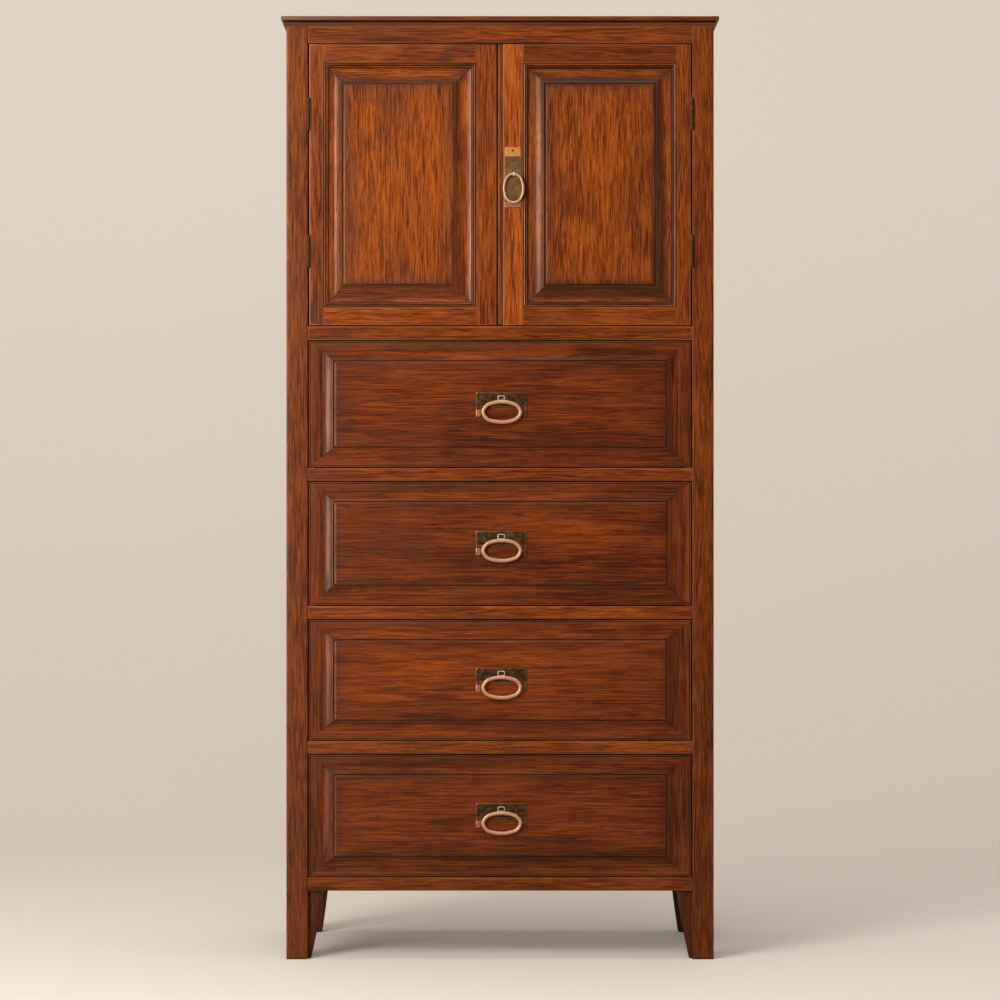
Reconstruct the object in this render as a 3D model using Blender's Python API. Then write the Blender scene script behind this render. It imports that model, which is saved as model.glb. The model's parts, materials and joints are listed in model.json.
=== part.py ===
# A tallboy: a panelled two-door cupboard over four drawers, on four shaped legs.
# Metres, +Z up. The front faces -Y. The origin is on the floor, under the middle of the whole object.
# Inside this file, y = 0 is the front face of the legs and rails, and y grows towards the back.

import math

import bmesh
import bpy
from mathutils import Vector

# Carcass
CARCASS_WIDTH = 0.800
CARCASS_DEPTH = 0.440
LEG_WIDTH = 0.040
LEG_DEPTH = 0.045
FOOT_HEIGHT = 0.1285  # floor to the underside of the bottom rail
BRACKET_WIDTH = 0.0255  # how far a front foot swells inwards at its top
REAR_BRACKET_WIDTH = 0.0175
BRACKET_TOE = 0.006  # what is left of the swelling at the floor
BRACKET_SETBACK = 0.012  # from the outer face of the leg to the swelling
BRACKET_BEND = 1.2  # 1 would be a straight taper
BRACKET_STEPS = 8
BOTTOM_RAIL_HEIGHT = 0.025
DRAWER_RAIL_HEIGHT = 0.0245
DRAWER_OPENING_HEIGHTS = (0.239, 0.234, 0.228, 0.231)  # from the top drawer down
DOOR_RAIL_HEIGHT = 0.0265
DOOR_OPENING_HEIGHT = 0.5295
TOP_RAIL_HEIGHT = 0.032
DOOR_STOP_DROP = 0.012  # lip of the top rail behind the doors

# Top board
TOP_THICKNESS = 0.016
TOP_SIDE_OVERHANG = 0.0095
TOP_FRONT_OVERHANG = 0.010
TOP_NOSE_HEIGHT = 0.008  # square edge above the hollow
TOP_HOLLOW_DEPTH = 0.006
TOP_HOLLOW_STEPS = 4
COVE_DROP = 0.010  # how far the side mouldings hang below the board
COVE_TOE = 0.0010  # their thickness at the lower edge

# Boards inside the carcass
SIDE_THICKNESS = 0.018
SIDE_INSET = 0.003  # from the outer face of the legs
SIDE_SINKING = 0.005
SIDE_TOP_RAIL = 0.062
SIDE_MIDDLE_RAIL = 0.048
SIDE_BOTTOM_RAIL = 0.062
TONGUE_LENGTH = 0.008
TONGUE_THICKNESS = 0.008
TENON_LENGTH = 0.012
TENON_THICKNESS = 0.012
TENON_SHOULDER = 0.004
BACK_THICKNESS = 0.010
BACK_INSET = 0.006
BACK_TONGUE = 0.006
DUST_BOARD_THICKNESS = 0.012
HOUSING_DEPTH = 0.005
SHELF_THICKNESS = 0.016
SHELF_SETBACK = 0.060
SHELF_HEIGHT = 0.250  # above the cupboard floor

# Doors
DOOR_THICKNESS = 0.022
DOOR_HINGE_GAP = 0.0024
DOOR_EDGE_GAP = 0.00175
MEETING_GAP = 0.002
MEETING_OFFSET = -0.0052  # the doors meet a little left of the middle
BEAD_WIDTH = 0.009
BEAD_PROUD = 0.0015
HINGE_STILE_WIDTH = 0.027
MEETING_STILE_WIDTH = 0.0385
DOOR_TOP_RAIL_HEIGHT = 0.035
DOOR_BOTTOM_RAIL_HEIGHT = 0.034
GROOVE_DEPTH = 0.007
GROOVE_FRONT = 0.010  # from the door's face
PANEL_EDGE_THICKNESS = 0.006
HAUNCH = 0.008  # solid wood left at the ends of a stile
STICKING_WIDTH = 0.010
STICKING_SINKING = 0.0065
PANEL_BEVEL_WIDTH = 0.029
PANEL_FIELD_STEP = 0.0012
SCOOP_STEPS = 6

# Hinges
HINGE_LENGTH = 0.061
UPPER_HINGE_INSET = 0.100  # from the end of the door
LOWER_HINGE_INSET = 0.108
HINGE_LEAF_THICKNESS = 0.00075
HINGE_LEAF_WIDTH = 0.018
KNUCKLE_RADIUS = 0.0035
KNUCKLE_COUNT = 5
HINGE_PIN_RADIUS = 0.0014
HINGE_SIDES = 16

# Drawers
DRAWER_SIDE_GAP = 0.002
DRAWER_EDGE_GAP = 0.0018
DRAWER_RUN_GAP = 0.0004
DRAWER_FRONT_THICKNESS = 0.020
DRAWER_BACK_GAP = 0.024  # from the back of the box to the back panel
DRAWER_SIDE_THICKNESS = 0.011
DRAWER_SIDE_DROP = 0.012  # top of a side below the opening's top
DRAWER_BACK_THICKNESS = 0.009
DRAWER_LAP = 0.012  # how far the sides go into the front
DRAWER_BOTTOM_THICKNESS = 0.006
DRAWER_BOTTOM_LIFT = 0.010
DRAWER_GROOVE_DEPTH = 0.005
BORDER_SIDE = 0.0235  # flat border of a drawer front, at its ends
BORDER_EDGE = 0.0180  # along its top and bottom
FRONT_BEVEL_SIDE = 0.0245
FRONT_BEVEL_EDGE = 0.0200
FIELD_PROUD = 0.005
FIELD_STEP = 0.0012
SCOOP_DROP = 0.0015

# Ring pulls
PLATE_THICKNESS = 0.002
DRAWER_PLATE_WIDTH = 0.095
DRAWER_PLATE_HEIGHT = 0.046
DRAWER_PLATE_CUT_WIDTH = 0.075  # open part between the two feet of the plate
DRAWER_PLATE_CUT_HEIGHT = 0.016
DOOR_PLATE_WIDTH = 0.032
DOOR_PLATE_HEIGHT = 0.113
DOOR_PLATE_DROP = 0.195  # from the door's top edge to the plate
DRAWER_RING_WIDTH = 0.076
DRAWER_RING_HEIGHT = 0.045
DRAWER_RING_RADIUS = 0.003
DRAWER_RING_DROP = 0.0176  # from the plate's top to the ring's pivot
DRAWER_EYE_LENGTH = 0.014
DOOR_RING_WIDTH = 0.039
DOOR_RING_HEIGHT = 0.059
DOOR_RING_RADIUS = 0.0023
DOOR_RING_DROP = 0.048
DOOR_EYE_LENGTH = 0.006
RING_PIVOT_RADIUS = 0.0017
RING_PLATE_GAP = 0.0008
EYE_WALL = 0.0008
STAPLE_RADIUS = 0.0012
STAPLE_HEIGHT = 0.012
RING_STEPS = 36
RING_SIDES = 10
STAPLE_STEPS = 8

# Clearances
FIT = 0.0003  # between pieces that touch
RUNNING = 0.00009  # around a pivot in its bore
OVERSHOOT = 0.004  # how far a cutter runs past a face

# Heights worked out from the floor up
BOTTOM_RAIL_TOP = FOOT_HEIGHT + BOTTOM_RAIL_HEIGHT
DRAWER_BASES = []
level = BOTTOM_RAIL_TOP
for opening in reversed(DRAWER_OPENING_HEIGHTS):
    DRAWER_BASES.insert(0, level)
    level += opening + DRAWER_RAIL_HEIGHT
CUPBOARD_BASE = level - DRAWER_RAIL_HEIGHT + DOOR_RAIL_HEIGHT
CUPBOARD_TOP = CUPBOARD_BASE + DOOR_OPENING_HEIGHT
CARCASS_TOP = CUPBOARD_TOP + TOP_RAIL_HEIGHT

# Widths and depths worked out from the carcass
HALF_WIDTH = CARCASS_WIDTH / 2
HALF_OPENING = HALF_WIDTH - LEG_WIDTH
SIDE_OUTER = HALF_WIDTH - SIDE_INSET
SIDE_INNER = SIDE_OUTER - SIDE_THICKNESS
REAR_LEG_FRONT = CARCASS_DEPTH - LEG_DEPTH
BACK_FRONT = CARCASS_DEPTH - BACK_INSET - BACK_THICKNESS
HINGE_X = HALF_OPENING - DOOR_HINGE_GAP / 2
HINGE_Y = -(KNUCKLE_RADIUS + FIT)
DRAWER_HALF_WIDTH = HALF_OPENING - DRAWER_SIDE_GAP
DRAWER_LENGTH = BACK_FRONT - DRAWER_BACK_GAP  # front face to the back of the box
DRAWER_PIVOT_Y = -(FIELD_PROUD + FIT + PLATE_THICKNESS + RING_PLATE_GAP + DRAWER_RING_RADIUS)
FRONT_REACH = max(TOP_FRONT_OVERHANG, DRAWER_RING_RADIUS - DRAWER_PIVOT_Y)
FRONT_Y = (FRONT_REACH - CARCASS_DEPTH) / 2  # puts the middle of the whole depth on the origin


for old in list(bpy.data.objects):
    bpy.data.objects.remove(old, do_unlink=True)


# Materials

def finish(name, colour, roughness, metallic):
    material = bpy.data.materials.new(name)
    material.use_nodes = True
    shader = material.node_tree.nodes["Principled BSDF"]
    shader.inputs["Base Color"].default_value = (*colour, 1.0)
    shader.inputs["Roughness"].default_value = roughness
    shader.inputs["Metallic"].default_value = metallic
    material.diffuse_color = (*colour, 1.0)
    return material


FRAME_WOOD = finish("frame_wood", (0.150, 0.048, 0.017), 0.38, 0.0)
PANEL_WOOD = finish("panel_wood", (0.190, 0.062, 0.018), 0.36, 0.0)
INNER_WOOD = finish("inner_wood", (0.260, 0.150, 0.070), 0.60, 0.0)
BRONZE = finish("dark_bronze", (0.090, 0.055, 0.030), 0.50, 0.8)
RING_METAL = finish("ring_brass", (0.550, 0.320, 0.180), 0.34, 1.0)
HINGE_METAL = finish("hinge_brass", (0.240, 0.140, 0.070), 0.42, 1.0)


# Building blocks

def anchor(name, place, parent):
    empty = bpy.data.objects.new(name, None)
    empty.empty_display_size = 0.05
    bpy.context.collection.objects.link(empty)
    empty.parent = parent
    empty.location = Vector(place) - anchor_places.get(parent, Vector())
    anchor_places[empty] = Vector(place)
    return empty


anchor_places = {}


def piece(name, shape, material, parent):
    # Shapes are drawn in carcass coordinates; the object's origin is its anchor's place.
    bmesh.ops.recalc_face_normals(shape, faces=shape.faces)
    bmesh.ops.translate(shape, verts=shape.verts, vec=-anchor_places[parent])
    mesh = bpy.data.meshes.new(name)
    shape.to_mesh(mesh)
    shape.free()
    mesh.materials.append(material)
    made = bpy.data.objects.new(name, mesh)
    bpy.context.collection.objects.link(made)
    made.parent = parent
    return made


def combine(target, shape, operation):
    # A hidden helper that is cut from the target or joined to it.
    helper = piece(f"{target.name}_{operation.lower()}", shape, FRAME_WOOD, target.parent)
    helper.hide_render = True
    helper.display_type = "WIRE"
    boolean = target.modifiers.new(operation.lower(), "BOOLEAN")
    boolean.operation = operation
    boolean.solver = "EXACT"
    boolean.object = helper


def box(low, high, shape=None):
    shape = shape or bmesh.new()
    corners = bmesh.ops.create_cube(shape, size=1.0)["verts"]
    for corner in corners:
        corner.co = [low[k] if corner.co[k] < 0 else high[k] for k in range(3)]
    return shape


def boxes(spans):
    shape = bmesh.new()
    for low, high in spans:
        box(low, high, shape)
    return shape


def grown(span, by):
    low, high = span
    return tuple(v - by for v in low), tuple(v + by for v in high)


def mirrored(span, side):
    # The same box on the left (side -1) or the right (side +1), given for the right.
    (x0, y0, z0), (x1, y1, z1) = span
    return (min(side * x0, side * x1), y0, z0), (max(side * x0, side * x1), y1, z1)


def loft(loops, closed=False, shape=None):
    # Skins loops of equal length; an open loft gets a cap at each end.
    shape = shape or bmesh.new()
    rings = [[shape.verts.new(point) for point in loop] for loop in loops]
    count = len(rings[0])
    pairs = list(zip(rings, rings[1:]))
    if closed:
        pairs.append((rings[-1], rings[0]))
    for first, second in pairs:
        for k in range(count):
            after = (k + 1) % count
            shape.faces.new((first[k], first[after], second[after], second[k]))
    if not closed:
        shape.faces.new(rings[0])
        shape.faces.new(rings[-1])
    return shape


def extruded(outline, place, along, shape=None):
    # A flat outline of (u, v) pairs, placed by a function and drawn out between two depths.
    return loft([[place(u, v, depth) for u, v in outline] for depth in along], shape=shape)


def across(y, z, x):
    return (x, y, z)


def frontal(x, z, y):
    return (x, y, z)


def flat(x, y, z):
    return (x, y, z)


def edgewise(y, z, x):
    return (x, y, z)


def rectangle(x0, x1, z0, z1, margin_x, margin_z, y):
    return [
        (x0 + margin_x, y, z0 + margin_z),
        (x1 - margin_x, y, z0 + margin_z),
        (x1 - margin_x, y, z1 - margin_z),
        (x0 + margin_x, y, z1 - margin_z),
    ]


def circle(centre, radius, sides, first, second):
    turn = math.tau / sides
    return [
        Vector(centre) + radius * (math.cos(k * turn) * first + math.sin(k * turn) * second)
        for k in range(sides)
    ]


def rod(start, end, radius, sides, shape=None):
    axis = (Vector(end) - Vector(start)).normalized()
    first = axis.orthogonal().normalized()
    second = axis.cross(first)
    ends = [circle(point, radius, sides, first, second) for point in (start, end)]
    return loft(ends, shape=shape)


def scoop(steps):
    # A hollow bevel, as (way along, rise) pairs from its flat outer edge to its steep inner edge.
    turn = math.pi / 2 / steps
    return [(math.sin(k * turn), 1 - math.cos(k * turn)) for k in range(steps + 1)]


# Carcass

tallboy = bpy.data.objects.new("tallboy", None)
bpy.context.collection.objects.link(tallboy)
tallboy.location = (0, FRONT_Y, 0)
anchor_places[tallboy] = Vector()

RAIL_SPANS = {
    "bottom_rail": (FOOT_HEIGHT, BOTTOM_RAIL_TOP),
    **{
        f"drawer_rail_{n}": (DRAWER_BASES[n - 1] - DRAWER_RAIL_HEIGHT, DRAWER_BASES[n - 1])
        for n in (1, 2, 3)
    },
    "cupboard_floor": (CUPBOARD_BASE - DOOR_RAIL_HEIGHT, CUPBOARD_BASE),
    "top_rail": (CUPBOARD_TOP, CARCASS_TOP - FIT),
}
TENON_FRONT = (LEG_DEPTH - TENON_THICKNESS) / 2


def tenon_span(bottom, top):
    # The right-hand tenon of a front rail, rooted inside the rail.
    return (
        (HALF_OPENING - OVERSHOOT, TENON_FRONT, bottom + TENON_SHOULDER),
        (HALF_OPENING + TENON_LENGTH, TENON_FRONT + TENON_THICKNESS, top - TENON_SHOULDER),
    )


def add_tenons(rail, bottom, top):
    span = tenon_span(bottom, top)
    combine(rail, boxes(mirrored(span, side) for side in (-1, 1)), "UNION")


def front_rail(name):
    bottom, top = RAIL_SPANS[name]
    half = HALF_OPENING - FIT
    made = piece(name, box((-half, 0, bottom), (half, LEG_DEPTH, top)), FRAME_WOOD, tallboy)
    add_tenons(made, bottom, top)


def top_rail():
    # Its lip behind the doors is what they close against.
    bottom, top = RAIL_SPANS["top_rail"]
    stop = DOOR_THICKNESS + 2 * FIT
    outline = [
        (0, bottom),
        (0, top),
        (LEG_DEPTH, top),
        (LEG_DEPTH, bottom - DOOR_STOP_DROP),
        (stop, bottom - DOOR_STOP_DROP),
        (stop, bottom),
    ]
    half = HALF_OPENING - FIT
    made = piece("top_rail", extruded(outline, across, (-half, half)), FRAME_WOOD, tallboy)
    add_tenons(made, bottom, top)


def housed_edge(front):
    # Right edge of a board from front to back: housed in the side panel, then between the rear legs.
    inner = HALF_OPENING - FIT
    outer = SIDE_INNER + HOUSING_DEPTH - FIT
    shoulder = REAR_LEG_FRONT - FIT
    return [(outer, front), (outer, shoulder), (inner, shoulder), (inner, BACK_FRONT - FIT)]


def cupboard_floor():
    # The door rail and the floor behind it, notched round the front legs.
    bottom, top = RAIL_SPANS["cupboard_floor"]
    inner = HALF_OPENING - FIT
    right_edge = [(inner, LEG_DEPTH / 2), (inner, LEG_DEPTH + FIT), *housed_edge(LEG_DEPTH + FIT)]
    outline = right_edge + [(-x, y) for x, y in reversed(right_edge)]
    made = piece(
        "cupboard_floor",
        extruded(outline, flat, (top - DUST_BOARD_THICKNESS, top)),
        FRAME_WOOD,
        tallboy,
    )
    combine(made, box((-inner, 0, bottom), (inner, LEG_DEPTH, top)), "UNION")
    add_tenons(made, bottom, top)


def housing_span(front, top, thickness):
    # The part of a board that sits in the right side panel.
    reach = SIDE_INNER + HOUSING_DEPTH - FIT
    return (SIDE_INNER, front, top - thickness), (reach, REAR_LEG_FRONT - FIT, top)


def housed_board(name, top, thickness, front):
    right_edge = housed_edge(front)
    outline = right_edge + [(-x, y) for x, y in reversed(right_edge)]
    piece(name, extruded(outline, flat, (top - thickness, top)), INNER_WOOD, tallboy)
    return housing_span(front, top, thickness)


def foot_outline(side, width):
    # Front view of the swelling, from the leg's inner face inwards, rooted inside the leg.
    root = HALF_OPENING + LEG_WIDTH / 4
    points = [(root, 0), (root, FOOT_HEIGHT - FIT)]
    for k in range(BRACKET_STEPS + 1):
        share = 1 - k / BRACKET_STEPS
        swell = BRACKET_TOE + (width - BRACKET_TOE) * (1 - (1 - share) ** BRACKET_BEND)
        points.append((HALF_OPENING - swell, share * (FOOT_HEIGHT - FIT)))
    return [(side * x, z) for x, z in points]


def leg(name, side, rear):
    near = REAR_LEG_FRONT if rear else 0
    low, high = mirrored(
        ((HALF_OPENING, near, 0), (HALF_WIDTH, near + LEG_DEPTH, CARCASS_TOP - FIT)), side
    )
    made = piece(name, box(low, high), FRAME_WOOD, tallboy)
    swell_from = near if rear else near + BRACKET_SETBACK
    swell_to = near + LEG_DEPTH - (BRACKET_SETBACK if rear else 0)
    width = REAR_BRACKET_WIDTH if rear else BRACKET_WIDTH
    combine(made, extruded(foot_outline(side, width), frontal, (swell_from, swell_to)), "UNION")
    middle = SIDE_OUTER - SIDE_THICKNESS / 2
    half_groove = TONGUE_THICKNESS / 2 + FIT
    groove_from = near - OVERSHOOT if rear else near + LEG_DEPTH - TONGUE_LENGTH - FIT
    groove_to = near + TONGUE_LENGTH + FIT if rear else near + LEG_DEPTH + OVERSHOOT
    cuts = [
        (
            (middle - half_groove, groove_from, FOOT_HEIGHT - FIT),
            (middle + half_groove, groove_to, CARCASS_TOP + OVERSHOOT),
        )
    ]
    if rear:
        cuts.append(
            (
                (HALF_OPENING - OVERSHOOT, BACK_FRONT - FIT, FOOT_HEIGHT - FIT),
                (HALF_OPENING + BACK_TONGUE + FIT, BACK_FRONT + BACK_THICKNESS + FIT, CARCASS_TOP + OVERSHOOT),
            )
        )
    else:
        cuts += [grown(tenon_span(*span), FIT) for span in RAIL_SPANS.values()]
    combine(made, boxes(mirrored(span, side) for span in cuts), "DIFFERENCE")


def side_panel(name, side, housings):
    bottom = FOOT_HEIGHT
    top = CARCASS_TOP - FIT
    front = LEG_DEPTH + FIT
    back = REAR_LEG_FRONT - FIT
    board = ((SIDE_INNER, front, bottom), (SIDE_OUTER, back, top))
    made = piece(name, box(*mirrored(board, side)), PANEL_WOOD, tallboy)
    middle = SIDE_OUTER - SIDE_THICKNESS / 2
    half = TONGUE_THICKNESS / 2
    tongue = (
        (middle - half, LEG_DEPTH - TONGUE_LENGTH, bottom),
        (middle + half, REAR_LEG_FRONT + TONGUE_LENGTH, top),
    )
    combine(made, box(*mirrored(tongue, side)), "UNION")
    middle_rail = CUPBOARD_BASE - DOOR_RAIL_HEIGHT / 2
    fields = (
        (bottom + SIDE_BOTTOM_RAIL, middle_rail - SIDE_MIDDLE_RAIL / 2),
        (middle_rail + SIDE_MIDDLE_RAIL / 2, top - SIDE_TOP_RAIL),
    )
    cuts = [
        (
            (SIDE_OUTER - SIDE_SINKING, front - OVERSHOOT, low),
            (SIDE_OUTER + OVERSHOOT, back + OVERSHOOT, high),
        )
        for low, high in fields
    ]
    for low, high in housings:
        (_, y0, z0), (x1, y1, z1) = grown((low, high), FIT)
        cuts.append(((SIDE_INNER - OVERSHOOT, y0, z0), (x1, y1, z1)))
    combine(made, boxes(mirrored(span, side) for span in cuts), "DIFFERENCE")


def back_panel():
    half = HALF_OPENING + BACK_TONGUE
    low = (-half, BACK_FRONT, FOOT_HEIGHT)
    high = (half, BACK_FRONT + BACK_THICKNESS, CARCASS_TOP - FIT)
    piece("back_panel", box(low, high), INNER_WOOD, tallboy)


def top_board():
    # A square nose with a hollow under it, on the front and both sides. The side hollows run on down the legs.
    half = HALF_WIDTH + TOP_SIDE_OVERHANG
    nose_base = CARCASS_TOP + TOP_THICKNESS - TOP_NOSE_HEIGHT
    hollow_height = nose_base - CARCASS_TOP

    def level(inset, z):
        x = half - inset
        y = inset - TOP_FRONT_OVERHANG
        return [(-x, y, z), (x, y, z), (x, CARCASS_DEPTH, z), (-x, CARCASS_DEPTH, z)]

    loops = []
    for way, rise in scoop(TOP_HOLLOW_STEPS):
        loops.append(level(TOP_HOLLOW_DEPTH * (1 - rise), CARCASS_TOP + hollow_height * way))
    loops.append(level(0, CARCASS_TOP + TOP_THICKNESS))
    made = piece("top_board", loft(loops), FRAME_WOOD, tallboy)
    inner = HALF_WIDTH + FIT
    outer = half - TOP_HOLLOW_DEPTH
    low = CARCASS_TOP - COVE_DROP
    cove = [
        (inner, low),
        (inner + COVE_TOE, low),
        (inner + (outer - inner + COVE_TOE) / 2, CARCASS_TOP - COVE_DROP / 2),
        (outer, CARCASS_TOP),
        (outer, CARCASS_TOP + FIT),
        (inner, CARCASS_TOP + FIT),
    ]
    for side in (-1, 1):
        outline = [(side * x, z) for x, z in cove]
        combine(made, extruded(outline, frontal, (0, CARCASS_DEPTH)), "UNION")


housings = []
for n in (1, 2, 3):
    front_rail(f"drawer_rail_{n}")
    housings.append(
        housed_board(f"dust_board_{n}", DRAWER_BASES[n - 1], DUST_BOARD_THICKNESS, LEG_DEPTH + FIT)
    )
front_rail("bottom_rail")
housings.append(housed_board("base_board", BOTTOM_RAIL_TOP, DUST_BOARD_THICKNESS, LEG_DEPTH + FIT))
housings.append(
    housed_board(
        "cupboard_shelf", CUPBOARD_BASE + SHELF_HEIGHT + SHELF_THICKNESS, SHELF_THICKNESS, SHELF_SETBACK
    )
)
cupboard_floor()
housings.append(housing_span(LEG_DEPTH + FIT, CUPBOARD_BASE, DUST_BOARD_THICKNESS))
top_rail()
for word, side in (("left", -1), ("right", 1)):
    leg(f"front_{word}_leg", side, rear=False)
    leg(f"rear_{word}_leg", side, rear=True)
    side_panel(f"{word}_side_panel", side, housings)
back_panel()
top_board()


# Doors

DOOR_BOTTOM = CUPBOARD_BASE + DOOR_EDGE_GAP
DOOR_TOP = CUPBOARD_TOP - DOOR_EDGE_GAP
GROOVE_BACK = GROOVE_FRONT + PANEL_EDGE_THICKNESS
DOOR_HINGE_EDGE = HALF_OPENING - DOOR_HINGE_GAP


def door_stile(name, low_x, high_x, groove_x, parent):
    # groove_x is the edge that faces the panel.
    made = piece(
        name, box((low_x, 0, DOOR_BOTTOM), (high_x, DOOR_THICKNESS, DOOR_TOP)), FRAME_WOOD, parent
    )
    inward = 1 if groove_x > (low_x + high_x) / 2 else -1
    ends = sorted((groove_x - inward * GROOVE_DEPTH, groove_x + inward * OVERSHOOT))
    combine(
        made,
        box(
            (ends[0], GROOVE_FRONT - FIT, DOOR_BOTTOM + HAUNCH - FIT),
            (ends[1], GROOVE_BACK + FIT, DOOR_TOP - HAUNCH + FIT),
        ),
        "DIFFERENCE",
    )


def door_rail(name, left, right, low_z, high_z, groove_z, parent):
    made = piece(
        name, box((left + FIT, 0, low_z), (right - FIT, DOOR_THICKNESS, high_z)), FRAME_WOOD, parent
    )
    reach = GROOVE_DEPTH - FIT
    tenon_low = max(low_z, DOOR_BOTTOM + HAUNCH)
    tenon_high = min(high_z, DOOR_TOP - HAUNCH)
    tenons = [
        ((left - reach, GROOVE_FRONT, tenon_low), (left + OVERSHOOT, GROOVE_BACK, tenon_high)),
        ((right - OVERSHOOT, GROOVE_FRONT, tenon_low), (right + reach, GROOVE_BACK, tenon_high)),
    ]
    combine(made, boxes(tenons), "UNION")
    upward = 1 if groove_z > (low_z + high_z) / 2 else -1
    ends = sorted((groove_z - upward * GROOVE_DEPTH, groove_z + upward * OVERSHOOT))
    reach_past = reach + OVERSHOOT
    combine(
        made,
        box(
            (left - reach_past, GROOVE_FRONT - FIT, ends[0]),
            (right + reach_past, GROOVE_BACK + FIT, ends[1]),
        ),
        "DIFFERENCE",
    )


def door_panel(name, left, right, low_z, high_z, parent):
    # From the back: the edge that sits in the groove, the sticking round the frame, the scoop and the field.
    reach = GROOVE_DEPTH - FIT
    lip = STICKING_WIDTH / 5
    profile = [
        (-reach, GROOVE_BACK),
        (-reach, GROOVE_FRONT),
        (FIT, GROOVE_FRONT),
        (FIT, STICKING_SINKING / 2),
        (lip, STICKING_SINKING / 2),
        (1.5 * lip, STICKING_SINKING / 5),
        (3.5 * lip, STICKING_SINKING / 5),
        (4 * lip, STICKING_SINKING / 2),
        (5 * lip, STICKING_SINKING),
    ]
    scoop_rise = STICKING_SINKING - PANEL_FIELD_STEP
    for way, rise in scoop(SCOOP_STEPS)[1:]:
        profile.append((STICKING_WIDTH + PANEL_BEVEL_WIDTH * way, STICKING_SINKING - scoop_rise * rise))
    profile.append((STICKING_WIDTH + PANEL_BEVEL_WIDTH + FIT, 0))
    loops = [rectangle(left, right, low_z, high_z, m, m, y) for m, y in profile]
    piece(name, loft(loops), PANEL_WOOD, parent)


def hinge(name, side, centre_z, door):
    # The frame leaf carries knuckles one, three and five and the pin; the door leaf has two and four.
    low = centre_z - HINGE_LENGTH / 2
    step = HINGE_LENGTH / KNUCKLE_COUNT
    clear = FIT / 2
    outer_leaf = DOOR_HINGE_GAP / 2 - FIT
    inner_leaf = outer_leaf - HINGE_LEAF_THICKNESS
    plate_front = HINGE_Y + KNUCKLE_RADIUS + 2 * FIT
    plate_back = plate_front + HINGE_LEAF_WIDTH

    def spans(first):
        return [(low + k * step + clear, low + (k + 1) * step - clear) for k in range(first, KNUCKLE_COUNT, 2)]

    def leaf_outline(first):
        points = [(plate_back, low), (plate_back, low + HINGE_LENGTH), (plate_front, low + HINGE_LENGTH)]
        for start, end in reversed(spans(first)):
            points += [(plate_front, end), (HINGE_Y, end), (HINGE_Y, start), (plate_front, start)]
        points.append((plate_front, low))
        return [p for k, p in enumerate(points) if p != points[k - 1]]

    def leaf(leaf_name, first, towards, parent):
        across_leaf = sorted((HINGE_X * side + towards * inner_leaf, HINGE_X * side + towards * outer_leaf))
        return piece(leaf_name, extruded(leaf_outline(first), edgewise, across_leaf), HINGE_METAL, parent)

    def at(z):
        return (HINGE_X * side, HINGE_Y, z)

    frame_leaf = leaf(f"{name}_frame_leaf", 0, side, tallboy)
    stack = []
    for start, end in spans(0):
        for z, radius in (
            (start, HINGE_PIN_RADIUS),
            (start, KNUCKLE_RADIUS),
            (end, KNUCKLE_RADIUS),
            (end, HINGE_PIN_RADIUS),
        ):
            stack.append(circle(at(z), radius, HINGE_SIDES, Vector((1, 0, 0)), Vector((0, 1, 0))))
    combine(frame_leaf, loft(stack[1:-1]), "UNION")

    door_leaf = leaf(f"{name}_door_leaf", 1, -side, door)
    knuckles = bmesh.new()
    for start, end in spans(1):
        rod(at(start), at(end), KNUCKLE_RADIUS, HINGE_SIDES, knuckles)
    combine(door_leaf, knuckles, "UNION")
    bore = HINGE_PIN_RADIUS + RUNNING
    combine(
        door_leaf,
        rod(at(low - OVERSHOOT), at(low + HINGE_LENGTH + OVERSHOOT), bore, HINGE_SIDES),
        "DIFFERENCE",
    )


def door(word, side, meeting_edge, bead):
    # meeting_edge is where the door's meeting stile ends.
    pivot = anchor(f"{word}_door_pivot", (side * HINGE_X, HINGE_Y, DOOR_BOTTOM), tallboy)
    hinge_edge = side * DOOR_HINGE_EDGE
    hinge_inner = hinge_edge - side * HINGE_STILE_WIDTH
    meeting_inner = meeting_edge + side * MEETING_STILE_WIDTH
    left, right = sorted((hinge_inner, meeting_inner))
    stile = sorted((hinge_edge, hinge_inner))
    door_stile(f"{word}_door_hinge_stile", stile[0], stile[1], hinge_inner, pivot)
    stile = sorted((meeting_edge, meeting_inner))
    door_stile(f"{word}_door_meeting_stile", stile[0], stile[1], meeting_inner, pivot)
    panel_low = DOOR_BOTTOM + DOOR_BOTTOM_RAIL_HEIGHT
    panel_high = DOOR_TOP - DOOR_TOP_RAIL_HEIGHT
    door_rail(f"{word}_door_top_rail", left, right, panel_high, DOOR_TOP, panel_high, pivot)
    door_rail(f"{word}_door_bottom_rail", left, right, DOOR_BOTTOM, panel_low, panel_low, pivot)
    door_panel(f"{word}_door_panel", left, right, panel_low, panel_high, pivot)
    if bead:
        low = (meeting_edge - BEAD_WIDTH, -BEAD_PROUD, DOOR_BOTTOM)
        high = (meeting_edge - FIT, DOOR_THICKNESS, DOOR_TOP)
        piece("meeting_bead", box(low, high), FRAME_WOOD, pivot)
    for end, centre in (
        ("upper", DOOR_TOP - UPPER_HINGE_INSET - HINGE_LENGTH / 2),
        ("lower", DOOR_BOTTOM + LOWER_HINGE_INSET + HINGE_LENGTH / 2),
    ):
        hinge(f"{word}_{end}_hinge", side, centre, pivot)
    return pivot


# Ring pulls

def oval_path(width, height, pivot_half):
    # Middle of the ring's wire, hung from (0, 0), with a straight stretch through the eye.
    points = []
    for k in range(RING_STEPS):
        turn = math.tau * (k + 0.5) / RING_STEPS
        x = width / 2 * math.sin(turn)
        z = height / 2 * (math.cos(turn) - 1)
        points.append((x, 0 if abs(x) < pivot_half and z > -height / 2 else z))
    return points


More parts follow.
